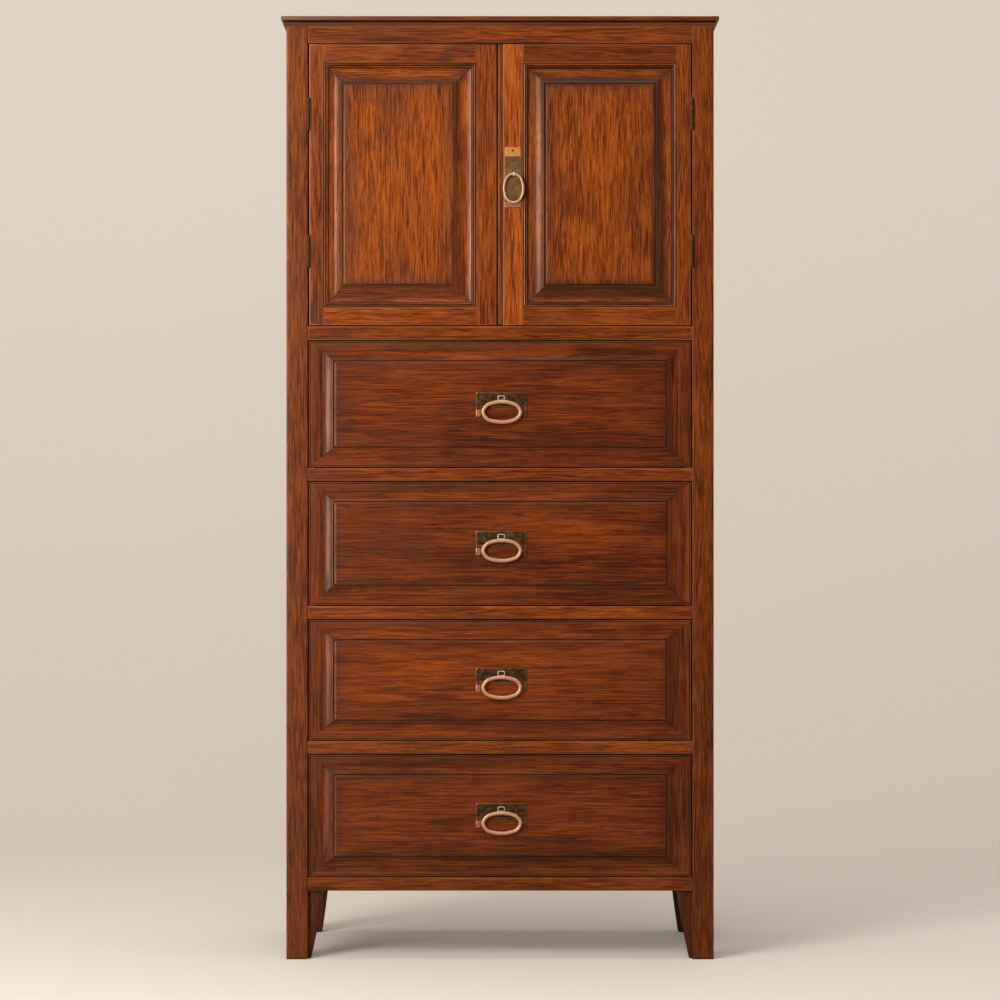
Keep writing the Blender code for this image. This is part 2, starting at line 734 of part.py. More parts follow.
def ring(name, centre, width, height, radius, eye_length, parent):
    pivot_half = eye_length / 2 + 2 * radius
    path = oval_path(width - 2 * radius, height - 2 * radius, pivot_half)
    in_eye = eye_length / 2 + FIT

    def section(x, z, along, wire):
        tangent = Vector((along[0], 0, along[1])).normalized()
        out = Vector((0, 1, 0))
        return circle((centre[0] + x, centre[1], centre[2] + z), wire, RING_SIDES, out, tangent.cross(out))

    loops = []
    for sign in (1, -1):
        loops.append(section(sign * in_eye, 0, (1, 0), radius if sign > 0 else RING_PIVOT_RADIUS))
        loops.append(section(sign * in_eye, 0, (1, 0), RING_PIVOT_RADIUS if sign > 0 else radius))
    right_shoulder, right_pin, left_pin, left_shoulder = loops
    outside = []
    for k, (x, z) in enumerate(path):
        if abs(x) <= in_eye and z > -height / 2:
            continue
        before = path[k - 1]
        after = path[(k + 1) % len(path)]
        outside.append(section(x, z, (after[0] - before[0], after[1] - before[1]), radius))
    piece(
        name,
        loft([right_pin, right_shoulder, *outside, left_shoulder, left_pin], closed=True),
        RING_METAL,
        parent,
    )


def eye(plate, centre, eye_length, seat_y, staple_height):
    # A rolled eye on a short neck, with a wire staple over it where there is one.
    outer = RING_PIVOT_RADIUS + RUNNING + EYE_WALL
    x, y, z = centre
    half = eye_length / 2
    start = (x - half, y, z)
    end = (x + half, y, z)
    combine(plate, rod(start, end, outer, HINGE_SIDES), "UNION")
    barrel = plate.modifiers[-1].object
    neck = box((x - half, y, z - outer / 2), (x + half, seat_y + PLATE_THICKNESS / 2, z + outer / 2))
    combine(barrel, neck, "UNION")
    if staple_height:
        wire_y = seat_y - STAPLE_RADIUS / 2
        loops = []
        arch = half - STAPLE_RADIUS
        for k in range(STAPLE_STEPS + 1):
            turn = math.pi * k / STAPLE_STEPS
            place = (x - arch * math.cos(turn), wire_y, z + outer / 2 + staple_height * math.sin(turn))
            out = Vector((-math.cos(turn), 0, math.sin(turn)))
            loops.append(circle(place, STAPLE_RADIUS, RING_SIDES, out, Vector((0, 1, 0))))
        combine(plate, loft(loops), "UNION")
    bore = RING_PIVOT_RADIUS + RUNNING
    combine(
        plate,
        rod((x - half - OVERSHOOT, y, z), (x + half + OVERSHOOT, y, z), bore, HINGE_SIDES),
        "DIFFERENCE",
    )


def drawer_pull(word, centre_z, carrier):
    face = -FIELD_PROUD - FIT
    seat = face - PLATE_THICKNESS
    top = centre_z + DRAWER_PLATE_HEIGHT / 2
    bottom = centre_z - DRAWER_PLATE_HEIGHT / 2
    half = DRAWER_PLATE_WIDTH / 2
    cut = DRAWER_PLATE_CUT_WIDTH / 2
    cut_top = bottom + DRAWER_PLATE_CUT_HEIGHT
    outline = [
        (-half, bottom),
        (-half, top),
        (half, top),
        (half, bottom),
        (cut, bottom),
        (cut, cut_top),
        (-cut, cut_top),
        (-cut, bottom),
    ]
    plate = piece(f"{word}_pull_plate", extruded(outline, frontal, (seat, face)), BRONZE, carrier)
    pivot = (0, DRAWER_PIVOT_Y, top - DRAWER_RING_DROP)
    eye(plate, pivot, DRAWER_EYE_LENGTH, seat, STAPLE_HEIGHT)
    swing = anchor(f"{word}_ring_pivot", pivot, carrier)
    ring(
        f"{word}_pull_ring",
        pivot,
        DRAWER_RING_WIDTH,
        DRAWER_RING_HEIGHT,
        DRAWER_RING_RADIUS,
        DRAWER_EYE_LENGTH,
        swing,
    )


def door_pull(centre_x, carrier):
    face = -FIT
    seat = face - PLATE_THICKNESS
    top = DOOR_TOP - DOOR_PLATE_DROP
    half = DOOR_PLATE_WIDTH / 2
    plate = piece(
        "door_pull_plate",
        box((centre_x - half, seat, top - DOOR_PLATE_HEIGHT), (centre_x + half, face, top)),
        BRONZE,
        carrier,
    )
    pivot = (centre_x, seat - RING_PLATE_GAP - DOOR_RING_RADIUS, top - DOOR_RING_DROP)
    eye(plate, pivot, DOOR_EYE_LENGTH, seat, 0)
    swing = anchor("door_ring_pivot", pivot, carrier)
    ring(
        "door_pull_ring",
        pivot,
        DOOR_RING_WIDTH,
        DOOR_RING_HEIGHT,
        DOOR_RING_RADIUS,
        DOOR_EYE_LENGTH,
        swing,
    )


left_meeting = MEETING_OFFSET - MEETING_GAP / 2
right_meeting = MEETING_OFFSET + MEETING_GAP / 2 + BEAD_WIDTH
door("left", -1, left_meeting, bead=False)
right_door = door("right", 1, right_meeting, bead=True)
door_pull(right_meeting + MEETING_STILE_WIDTH / 2, right_door)


# Drawers

def drawer_front(name, low_z, high_z, side_low, side_high, groove_low, parent):
    half = DRAWER_HALF_WIDTH
    profile = [
        (0, 0, DRAWER_FRONT_THICKNESS),
        (0, 0, 0),
        (BORDER_SIDE, BORDER_EDGE, 0),
        (BORDER_SIDE + FIT, BORDER_EDGE + FIT, SCOOP_DROP),
    ]
    scoop_rise = FIELD_PROUD + SCOOP_DROP - FIELD_STEP
    for way, rise in scoop(SCOOP_STEPS)[1:]:
        profile.append(
            (
                BORDER_SIDE + FRONT_BEVEL_SIDE * way,
                BORDER_EDGE + FRONT_BEVEL_EDGE * way,
                SCOOP_DROP - scoop_rise * rise,
            )
        )
    profile.append((BORDER_SIDE + FRONT_BEVEL_SIDE + FIT, BORDER_EDGE + FRONT_BEVEL_EDGE + FIT, -FIELD_PROUD))
    loops = [rectangle(-half, half, low_z, high_z, mx, mz, y) for mx, mz, y in profile]
    made = piece(name, loft(loops), PANEL_WOOD, parent)
    inner = half - DRAWER_SIDE_THICKNESS
    lap_front = DRAWER_FRONT_THICKNESS - DRAWER_LAP
    lap = (
        (inner - FIT, lap_front, min(low_z, side_low) - OVERSHOOT),
        (half + OVERSHOOT, DRAWER_FRONT_THICKNESS + OVERSHOOT, side_high + FIT),
    )
    combine(made, boxes(mirrored(lap, side) for side in (-1, 1)), "DIFFERENCE")
    groove = box(
        (-inner, DRAWER_FRONT_THICKNESS - DRAWER_GROOVE_DEPTH, groove_low - FIT),
        (inner, DRAWER_FRONT_THICKNESS + OVERSHOOT, groove_low + DRAWER_BOTTOM_THICKNESS + FIT),
    )
    combine(made, groove, "DIFFERENCE")


def drawer_box(name, side_low, side_high, groove_low, parent):
    # The two sides and the back, dovetailed into one piece.
    half = DRAWER_HALF_WIDTH
    inner = half - DRAWER_SIDE_THICKNESS
    front = DRAWER_FRONT_THICKNESS - DRAWER_LAP + FIT
    outline = [
        (-half, front),
        (-inner, front),
        (-inner, DRAWER_LENGTH - DRAWER_BACK_THICKNESS),
        (inner, DRAWER_LENGTH - DRAWER_BACK_THICKNESS),
        (inner, front),
        (half, front),
        (half, DRAWER_LENGTH),
        (-half, DRAWER_LENGTH),
    ]
    made = piece(name, extruded(outline, flat, (side_low, side_high)), INNER_WOOD, parent)
    groove_top = groove_low + DRAWER_BOTTOM_THICKNESS + FIT
    reach = inner + DRAWER_GROOVE_DEPTH
    combine(
        made,
        box((-reach, front - OVERSHOOT, groove_low - FIT), (reach, DRAWER_LENGTH + OVERSHOOT, groove_top)),
        "DIFFERENCE",
    )
    under_back = box(
        (-inner, DRAWER_LENGTH - DRAWER_BACK_THICKNESS - OVERSHOOT, side_low - OVERSHOOT),
        (inner, DRAWER_LENGTH + OVERSHOOT, groove_top),
    )
    combine(made, under_back, "DIFFERENCE")


def drawer(number):
    word = f"drawer_{number}"
    base = DRAWER_BASES[number - 1]
    roof = base + DRAWER_OPENING_HEIGHTS[number - 1]
    slide = anchor(f"{word}_slide", (0, 0, base), tallboy)
    side_low = base + DRAWER_RUN_GAP
    side_high = roof - DRAWER_SIDE_DROP
    groove_low = side_low + DRAWER_BOTTOM_LIFT
    low = base + DRAWER_EDGE_GAP
    high = roof - DRAWER_EDGE_GAP
    drawer_front(f"{word}_front", low, high, side_low, side_high, groove_low, slide)
    drawer_box(f"{word}_box", side_low, side_high, groove_low, slide)
    reach = DRAWER_HALF_WIDTH - DRAWER_SIDE_THICKNESS + DRAWER_GROOVE_DEPTH - FIT
    front = DRAWER_FRONT_THICKNESS + FIT
    tongue_half = DRAWER_HALF_WIDTH - DRAWER_SIDE_THICKNESS - FIT
    tongue_front = DRAWER_FRONT_THICKNESS - DRAWER_GROOVE_DEPTH + FIT
    outline = [
        (-tongue_half, tongue_front),
        (tongue_half, tongue_front),
        (tongue_half, front),
        (reach, front),
        (reach, DRAWER_LENGTH),
        (-reach, DRAWER_LENGTH),
        (-reach, front),
        (-tongue_half, front),
    ]
    piece(
        f"{word}_bottom",
        extruded(outline, flat, (groove_low, groove_low + DRAWER_BOTTOM_THICKNESS)),
        INNER_WOOD,
        slide,
    )
    drawer_pull(word, (low + high) / 2, slide)


for number in range(1, len(DRAWER_OPENING_HEIGHTS) + 1):
    drawer(number)


# Round metal is shaded smooth.
for made in bpy.data.objects:
    if made.type == "MESH" and made.name.endswith(("_ring", "_leaf", "_plate")):
        made.data.shade_smooth()
        made.data.set_sharp_from_angle(angle=math.radians(35))
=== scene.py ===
import json
import math
import random
from functools import partial

import bmesh
import bpy
import numpy as np
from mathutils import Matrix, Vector


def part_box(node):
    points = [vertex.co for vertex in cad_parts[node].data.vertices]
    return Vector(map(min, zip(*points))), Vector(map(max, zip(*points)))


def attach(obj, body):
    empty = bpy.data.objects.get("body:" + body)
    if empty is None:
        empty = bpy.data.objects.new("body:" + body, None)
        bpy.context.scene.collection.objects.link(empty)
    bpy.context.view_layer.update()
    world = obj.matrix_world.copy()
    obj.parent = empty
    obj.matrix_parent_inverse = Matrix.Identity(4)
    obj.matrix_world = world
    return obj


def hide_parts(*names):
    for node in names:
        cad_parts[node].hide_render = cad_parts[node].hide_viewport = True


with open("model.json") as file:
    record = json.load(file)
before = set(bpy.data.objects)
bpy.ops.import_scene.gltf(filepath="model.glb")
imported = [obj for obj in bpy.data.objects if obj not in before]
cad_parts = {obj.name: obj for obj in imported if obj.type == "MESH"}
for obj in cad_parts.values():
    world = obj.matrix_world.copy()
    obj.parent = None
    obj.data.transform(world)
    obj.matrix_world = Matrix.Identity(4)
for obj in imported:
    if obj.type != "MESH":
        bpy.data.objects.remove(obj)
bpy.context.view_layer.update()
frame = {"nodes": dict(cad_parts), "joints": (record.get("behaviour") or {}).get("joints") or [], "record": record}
bodyOf = {node: body for body, nodes in frame["record"]["behaviour"]["bodies"].items() for node in nodes}
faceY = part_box("bottom_rail")[0].y  # front face of the legs and rails
mm = 0.001
quarterTurn = math.radians(90)
drawers = (1, 2, 3, 4)
print("frame loaded:", len(frame["nodes"]), "nodes")


# camera, at the photograph's place: level, straight on
view = {"height": 0.860, "distance": 6.3, "side": -0.0001, "lens": 121.15, "sensor": 36, "reach": 60}
bpy.ops.object.select_all(action="DESELECT")
bpy.ops.object.camera_add(
    location=(view["side"], faceY - view["distance"], view["height"]), rotation=(quarterTurn, 0, 0)
)
camera = bpy.context.active_object
camera.data.lens = view["lens"]
camera.data.sensor_width = view["sensor"]
camera.data.clip_end = view["reach"]
bpy.context.scene.camera = camera
bpy.context.scene.view_settings.view_transform = "Standard"


# small tools used by every piece

def selectOnly(*pieces):
    bpy.ops.object.select_all(action="DESELECT")
    for piece in pieces:
        piece.select_set(True)
        bpy.context.view_layer.objects.active = pieces[0]


def editMesh():
    bpy.ops.object.mode_set(mode="EDIT")


def leaveMesh():
    bpy.ops.object.mode_set(mode="OBJECT")


def pick(kind, piece, test):
    # selects the edges or faces that the test holds for
    bpy.context.tool_settings.mesh_select_mode = (False, kind == "edges", kind == "faces")
    bpy.ops.mesh.select_all(action="DESELECT")
    for item in getattr(bmesh.from_edit_mesh(piece.data), kind):
        if test(item):
            item.select_set(True)
    bmesh.update_edit_mesh(piece.data)


pickFaces = partial(pick, "faces")
pickEdges = partial(pick, "edges")


def roundEdges(piece, test, radius, segments):
    pickEdges(piece, test)
    bpy.ops.mesh.bevel(offset=radius, segments=segments, affect="EDGES")


def isSharp(edge):
    return edge.calc_face_angle(0) > math.radians(60)


def isLong(edge):
    # runs along a rail, so its ends stay square against the stiles
    return abs(edge.verts[0].co.x - edge.verts[1].co.x) > 50 * mm


def extrudeUp(rise):
    bpy.ops.mesh.extrude_region_move(TRANSFORM_OT_translate={"value": (0, 0, rise)})


def cutAcross(point, direction):
    bpy.ops.mesh.select_all(action="SELECT")
    bpy.ops.mesh.bisect(plane_co=point, plane_no=direction)


def addBlock(low, high):
    low, high = Vector(low), Vector(high)
    selectOnly()
    bpy.ops.mesh.primitive_cube_add(size=1, location=(low + high) / 2, scale=high - low)
    bpy.ops.object.transform_apply()
    return bpy.context.active_object


def easeBlock(low, high, radius=0.9 * mm, segments=2, band=4 * mm, test=lambda edge: True):
    # a planed board: rounded arrises where the test holds, and a band beside each for the wear and its painted
    # highlight to fade over
    piece = addBlock(low, high)
    editMesh()
    roundEdges(piece, test, radius, segments)
    pickFaces(piece, lambda face: min(edge.calc_length() for edge in face.edges) > 2.2 * band)
    bpy.ops.mesh.inset(thickness=band, depth=0, use_individual=True)
    leaveMesh()
    return piece


def addDrum(centre, radius, length, vertices, turn=(0, 0, 0)):
    selectOnly()
    bpy.ops.mesh.primitive_cylinder_add(
        vertices=vertices, radius=radius, depth=length, location=centre, rotation=turn
    )
    bpy.ops.object.transform_apply()
    return bpy.context.active_object


def softDrum(*shape):
    # a drum with its two rims rounded
    drum = addDrum(*shape)
    editMesh()
    roundEdges(drum, isSharp, 0.5 * mm, 2)
    leaveMesh()
    return drum


def addStud(centre, radius, height, sunk=0.6 * mm):
    # a low domed head
    middle = Vector(centre) + Vector((0, (sunk - height) / 2, 0))
    stud = addDrum(middle, radius, height + sunk, 20, (quarterTurn, 0, 0))
    front = centre[1] - 0.5 * height
    editMesh()
    roundEdges(stud, lambda edge: isSharp(edge) and edge.verts[0].co.y < front, 0.85 * height, 4)
    leaveMesh()
    return stud


def joinPieces(pieces):
    selectOnly(*pieces)
    bpy.ops.object.join()
    return pieces[0]


def copyPiece(piece, shift=(0, 0, 0), mirror=False):
    # a copy with its own mesh, moved, or turned over to the other side of the middle
    selectOnly(piece)
    bpy.ops.object.duplicate(linked=False)
    made = bpy.context.active_object
    made.location = shift
    made.scale.x = -1 if mirror else 1
    bpy.ops.object.transform_apply()
    if mirror:
        editMesh()
        bpy.ops.mesh.select_all(action="SELECT")
        bpy.ops.mesh.normals_make_consistent(inside=False)
        leaveMesh()
    return made


def dropPieces(pieces):
    selectOnly(*pieces)
    bpy.ops.object.delete()


def mouldFront(low, high, start, back, steps, middle):
    # a block whose front is drawn in step by step: margins from the ends and the long edges, depth, and how
    # far aside and higher. It is then cut in quarters, so that margins stay straight on every face.
    block = addBlock((low.x, start, low.z), (high.x, back, high.z))
    editMesh()
    pickFaces(block, lambda face: face.normal.y < -0.9)
    fullX, fullZ = high.x - low.x, high.z - low.z
    oldX, oldZ, oldY, oldAside, oldLift = 0.0, 0.0, start, 0.0, 0.0
    for marginX, marginZ, y, aside, lift in steps:
        bpy.ops.mesh.extrude_region()
        bpy.ops.transform.resize(
            value=((fullX - 2 * marginX) / (fullX - 2 * oldX), 1, (fullZ - 2 * marginZ) / (fullZ - 2 * oldZ)),
            center_override=((low.x + high.x) / 2 + oldAside, oldY, (low.z + high.z) / 2 + oldLift),
        )
        bpy.ops.transform.translate(value=(aside - oldAside, y - oldY, lift - oldLift))
        oldX, oldZ, oldY, oldAside, oldLift = marginX, marginZ, y, aside, lift
    cutAcross(middle, (1, 0, 0))
    cutAcross(middle, (0, 0, 1))
    leaveMesh()
    return block


def tableAt(table, place):
    # reads a table of places and values between its rows
    return float(np.interp(place, *zip(*table)))


# boards lighter or darker than the rest: partly how the stain took, partly painted shade, with some low boards
# darker where less light reaches
boardStainAndShade = {
    "left_door_meeting_stile": 1.18, "left_door_bottom_rail": 1.22, "left_door_top_rail": 1.15,
    "right_door_meeting_stile": 1.55, "right_door_top_rail": 0.60,
    "left_door_panel": 1.04, "right_door_panel": 0.95, "front_left_leg": 1.06,
    "cupboard_floor": 0.88, "drawer_rail_2": 1.15, "drawer_rail_3": 1.05, "bottom_rail": 0.82,
    "drawer_2_front": 0.97, "drawer_3_front": 1.16, "drawer_4_front": 0.90,
}


def paintForm(piece, node, shade, mitre):
    # form: above 0 on arrises, below 0 in hollows. shade: where dark glaze and painted shade were laid on.
    # boardShift: the board's own place in the grain. mitre: margins from the two nearest edges in
    # millimetres, and 1 where glaze and painted shade gather along the mitred corners.
    def addLayer(name, kind, values):
        layer = piece.data.attributes.new(name, kind, "POINT")
        field = "vector" if kind == "FLOAT_VECTOR" else "value"
        layer.data.foreach_set(field, np.array(values, np.float32).ravel())

    mesh = bmesh.new()
    mesh.from_mesh(piece.data)
    mesh.normal_update()
    form = []
    for vert in mesh.verts:
        runs = [edge.other_vert(vert).co - vert.co for edge in vert.link_edges]
        form.append(-sum(run.normalized().dot(vert.normal) for run in runs) / max(1, len(runs)))
    mesh.free()
    places = [vert.co for vert in piece.data.vertices]
    dice = random.Random(piece.name)
    addLayer("form", "FLOAT", form)
    addLayer("shade", "FLOAT", [shade(co) if shade else 0.0 for co in places])
    addLayer("boardShift", "FLOAT_VECTOR", [dice.uniform(-4, 4) for _ in range(3)] * len(places))
    addLayer("boardTone", "FLOAT", [boardStainAndShade.get(node, 1.0)] * len(places))
    if mitre:
        addLayer("mitre", "FLOAT_VECTOR", [mitre(co) for co in places])


def finishPiece(piece, name, node, material, shade=None, replaced=True, smoothAngle=40, mitre=None):
    piece.name = name
    piece.data.name = name
    piece.data.materials.clear()
    piece.data.materials.append(material)
    selectOnly(piece)
    bpy.ops.object.shade_smooth_by_angle(angle=math.radians(smoothAngle))
    if mitre:
        for edge in piece.data.edges:
            first, second = (piece.data.vertices[index].co for index in edge.vertices)
            slanted = min(abs(first.x - second.x), abs(first.z - second.z)) > 0.02 * mm
            edge.use_edge_sharp = edge.use_edge_sharp or slanted
    paintForm(piece, node, shade, mitre)
    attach(piece, bodyOf[node])
    if replaced:
        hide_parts(node)


# shader tools

def feed(tree, node, values):
    # links a node's inputs, or sets them where a plain value is given
    for name, value in values.items():
        if isinstance(value, bpy.types.NodeSocket):
            tree.links.new(value, node.inputs[name])
        else:
            node.inputs[name].default_value = value


def addNode(tree, kind, values=None, **settings):
    node = tree.nodes.new(f"ShaderNode{kind}")
    for name, value in settings.items():
        setattr(node, name, value)
    feed(tree, node, values or {})
    return node


def stretched(tree, source, scale, noiseScale, detail, roughness=0.55, distortion=0.0):
    # noise drawn out along the grain
    mapping = addNode(tree, "Mapping", {"Vector": source, "Scale": scale})
    noise = addNode(tree, "TexNoise", {
        "Vector": mapping.outputs["Vector"], "Scale": noiseScale, "Detail": detail,
        "Roughness": roughness, "Distortion": distortion,
    })
    return noise.outputs["Fac"]


def ranged(tree, source, low, high, start=0.0, end=1.0):
    values = {"Value": source, "From Min": low, "From Max": high, "To Min": start, "To Max": end}
    return addNode(tree, "MapRange", values).outputs["Result"]


def mixed(tree, factor, first, second, blend="MIX", kind="RGBA"):
    values = {"Factor": factor, "A": first, "B": second}
    return addNode(tree, "Mix", values, data_type=kind, blend_type=blend).outputs["Result"]


def sums(tree, operation, first, second=0.0):
    return addNode(tree, "Math", {0: first, 1: second}, operation=operation).outputs["Value"]


def attributeOf(tree, name, output):
    return addNode(tree, "Attribute", attribute_name=name).outputs[output]


def splitOf(tree, vector):
    return addNode(tree, "SeparateXYZ", {0: vector}).outputs


def toolsFor(tree):
    # the tools above for one tree: noise, range and mix, then multiply, add, subtract and the larger of two
    tools = [partial(tool, tree) for tool in (stretched, ranged, mixed)]
    return tools + [partial(sums, tree, word) for word in ("MULTIPLY", "ADD", "SUBTRACT", "MAXIMUM")]


def newGroup(name, inputs):
    # each input with its first value: nothing for a vector, four numbers for a colour
    group = bpy.data.node_groups.new(name, "ShaderNodeTree")
    for label, value in inputs.items():
        kind = "Vector" if value is None else "Color" if isinstance(value, tuple) else "Float"
        socket = group.interface.new_socket(name=label, in_out="INPUT", socket_type=f"NodeSocket{kind}")
        if value is not None:
            socket.default_value = value
    for label, kind in (("Color", "Color"), ("Roughness", "Float"), ("Height", "Float")):
        group.interface.new_socket(name=label, in_out="OUTPUT", socket_type=f"NodeSocket{kind}")
    return group, group.nodes.new("NodeGroupInput").outputs, group.nodes.new("NodeGroupOutput")


def grainGroup():
    # stained hardwood: mottled stain, streaked figure, short pores, dark glaze and painted shade in hollows,
    # arrises rubbed paler as wear and painted highlight
    group, given, out = newGroup("stainedGrain", {
        "Vector": None, "Light": (0.30, 0.085, 0.016, 1), "Middle": (0.17, 0.042, 0.010, 1),
        "Dark": (0.06, 0.016, 0.005, 1), "Form": 0.0, "Shade": 0.0, "Tone": 1.0, "Mitre": None,
        "Figure": 0.16, "Fine": 0.48, "Smoke": 0.42,
    })
    streaks, span, mix, times, plus, minus, most = toolsFor(group)
    vector, light, dark, form = (given[name] for name in ("Vector", "Light", "Dark", "Form"))
    broad = streaks(vector, (2.6, 7.0, 7.0), 2.4, 3.0)
    figure = span(streaks(vector, (2.6, 22.0, 22.0), 2.2, 3.0, 0.55, 1.0), 0.30, 0.70)
    streak = span(streaks(vector, (6.0, 80.0, 80.0), 2.0, 3.0, 0.60, 0.7), 0.32, 0.68)
    fine = span(streaks(vector, (13.0, 205.0, 205.0), 2.0, 2.0, 0.60, 0.6), 0.36, 0.64)
    fleck = span(streaks(vector, (8.0, 240.0, 240.0), 2.0, 1.0, 0.5, 0.4), 0.58, 0.70)
    pore = span(streaks(vector, (24.0, 200.0, 200.0), 2.0, 1.0, 0.5, 0.4), 0.40, 0.28)
    # stain
    tone = plus(times(span(broad, 0.30, 0.70), 0.20), times(figure, given["Figure"]))
    tone = plus(plus(tone, times(streak, 0.16)), times(fine, given["Fine"]))
    colour = mix(span(tone, 0.21, 0.49), dark, given["Middle"])
    colour = mix(span(tone, 0.49, 0.75), colour, light)
    colour = mix(times(pore, 0.70), colour, dark)
    colour = mix(times(fleck, 0.45), colour, mix(1.0, light, (1.25, 1.4, 1.9, 1), "MULTIPLY"))
    toned = addNode(group, "VectorMath", {0: colour, "Scale": given["Tone"]}, operation="SCALE")
    # darkening: dark glaze and painted shade in hollows and along mitres, glaze in clouds, and painted shade and
    # glaze where the shade attribute lays them on
    mitre = splitOf(group, given["Mitre"])
    apart = sums(group, "ABSOLUTE", minus(mitre["X"], mitre["Y"]))
    corner = most(span(apart, 3.0, 0.8, 0.0, 0.85), span(apart, 34.0, 0.0, 0.0, 0.62))
    smoke = times(span(streaks(vector, (3.2, 6.0, 6.0), 1.6, 2.0), 0.50, 0.70), given["Smoke"])
    darkening = most(most(span(form, -0.03, -0.20), smoke), given["Shade"])
    darkening = most(darkening, times(corner, mitre["Z"]))
    glazeAndShadeColour = mix(1.0, dark, (0.30, 0.26, 0.26, 1), "MULTIPLY")
    colour = mix(times(darkening, 0.90), toned.outputs["Vector"], glazeAndShadeColour)
    # arrises rubbed paler: wear, with a painted highlight along them
    wearAndHighlight = times(span(form, 0.08, 0.34), span(broad, 0.40, 0.60, 0.35, 1.0))
    colour = mix(times(wearAndHighlight, 0.50), colour, mix(1.0, light, (1.15, 1.45, 2.2, 1), "MULTIPLY"))
    rough = plus(plus(times(streak, -0.05), 0.28), times(darkening, 0.22))
    feed(group, out, {"Color": colour, "Roughness": rough, "Height": minus(times(fine, 0.35), pore)})
    return group


def patinaGroup():
    # cast metal gone dark, rubbed back to colour on its edges
    group, given, out = newGroup("oldPatina", {
        "Vector": None, "Metal": (0.5, 0.3, 0.16, 1), "Patina": (0.07, 0.045, 0.025, 1),
        "Cover": 0.5, "Form": 0.0,
    })
    streaks, span, mix, times, plus, minus = toolsFor(group)[:6]
    cloud = streaks(given["Vector"], (1, 1, 1), 90.0, 5.0, 0.65)
    speck = streaks(given["Vector"], (1, 1, 1), 520.0, 2.0)
    cover = plus(given["Cover"], minus(span(cloud, 0.25, 0.75), 0.5))
    cover = minus(cover, span(given["Form"], 0.04, 0.26))
    cover = span(plus(cover, span(given["Form"], -0.05, -0.25)), 0.0, 1.0)
    colour = mix(cover, given["Metal"], given["Patina"])
    colour = mix(span(speck, 0.62, 0.74, 0.0, 0.35), colour, given["Metal"])
    rough = span(cover, 0.0, 1.0, 0.30, 0.52)
    feed(group, out, {"Color": colour, "Roughness": rough, "Height": plus(cloud, times(speck, 0.5))})
    return group


grain = grainGroup()
patina = patinaGroup()


def groupMaterial(name, group, bump, depth, finish):
    # colour, roughness and relief come from the group, the rest of the finish is plain values
    material = bpy.data.materials.new(name)
    material.use_nodes = True
    tree = material.node_tree
    skin = addNode(tree, "Group", node_tree=group)
    relief = addNode(tree, "Bump", {"Strength": bump, "Distance": depth, "Height": skin.outputs["Height"]})
    feed(tree, tree.nodes["Principled BSDF"], {
        "Base Color": skin.outputs["Color"], "Roughness": skin.outputs["Roughness"],
        "Normal": relief.outputs["Normal"], **finish,
    })
    return material, tree, skin


def woodMaterial(
    name, along, tones, coat=0.10, bump=0.25, drawn=1.0, figure=0.16, fine=0.48, smoke=0.42, painted=True,
    boxed=False, strips=0.0,
):
    # along: the axis that the grain runs on. drawn: below 1 for longer streaks.
    # figure, fine: weights of bands and lines. smoke: how strong the clouds of glaze are.
    # painted: False for boards that keep their CAD mesh and carry none of the painted values
    # boxed: True for a drawer box, where the boards that face along y have their grain across
    # strips: on a moulded front, the margin up to which the grain follows the moulding round its mitres
    finish = {
        "Specular IOR Level": 0.40, "Specular Tint": (1.0, 0.76, 0.57, 1),
        "Coat Weight": coat, "Coat Roughness": 0.24,
    }
    material, tree, wood = groupMaterial(name, grain, bump, 0.3 * mm, finish)
    place = addNode(tree, "TexCoord").outputs
    ownPlace = {0: place["Object"], 1: attributeOf(tree, "boardShift", "Vector")}
    shift = addNode(tree, "VectorMath", ownPlace, operation="ADD")
    turns = {"x": (0, 0, 0), "y": (0, 0, quarterTurn), "z": (0, quarterTurn, 0)}

    def turned(way):
        return addNode(tree, "Mapping", {
            "Vector": shift.outputs["Vector"], "Rotation": turns[way],
            "Scale": [drawn if axis == way else 1.0 for axis in "xyz"],
        }).outputs["Vector"]

    vector = turned(along)
    if boxed:
        facing = sums(tree, "ABSOLUTE", splitOf(tree, place["Normal"])["Y"])
        across = sums(tree, "GREATER_THAN", facing, 0.5)
        vector = mixed(tree, across, vector, turned("x"), kind="VECTOR")
    if strips:
        margins = splitOf(tree, attributeOf(tree, "mitre", "Vector"))
        near, far = (margins[axis] for axis in ("XY" if along == "x" else "YX"))
        strip = sums(
            tree, "MULTIPLY", sums(tree, "LESS_THAN", near, far), sums(tree, "LESS_THAN", near, strips)
        )
        vector = mixed(tree, strip, vector, turned("z" if along == "x" else "x"), kind="VECTOR")
    feed(tree, wood, {**tones, "Figure": figure, "Fine": fine, "Smoke": smoke, "Vector": vector})
    if painted:
        feed(tree, wood, {
            "Form": attributeOf(tree, "form", "Fac"), "Shade": attributeOf(tree, "shade", "Fac"),
            "Tone": attributeOf(tree, "boardTone", "Fac"), "Mitre": attributeOf(tree, "mitre", "Vector"),
        })
    return material


def metalMaterial(name, metal, dark, cover, metallic, gloss=0.5):
    finish = {"Metallic": metallic, "Specular IOR Level": gloss, "Specular Tint": (1.0, 0.72, 0.46, 1)}
    material, tree, skin = groupMaterial(name, patina, 0.2, 0.2 * mm, finish)
    feed(tree, skin, {
        "Metal": (*metal, 1), "Patina": (*dark, 1), "Cover": cover,
        "Vector": addNode(tree, "TexCoord").outputs["Object"], "Form": attributeOf(tree, "form", "Fac"),
    })
    return material


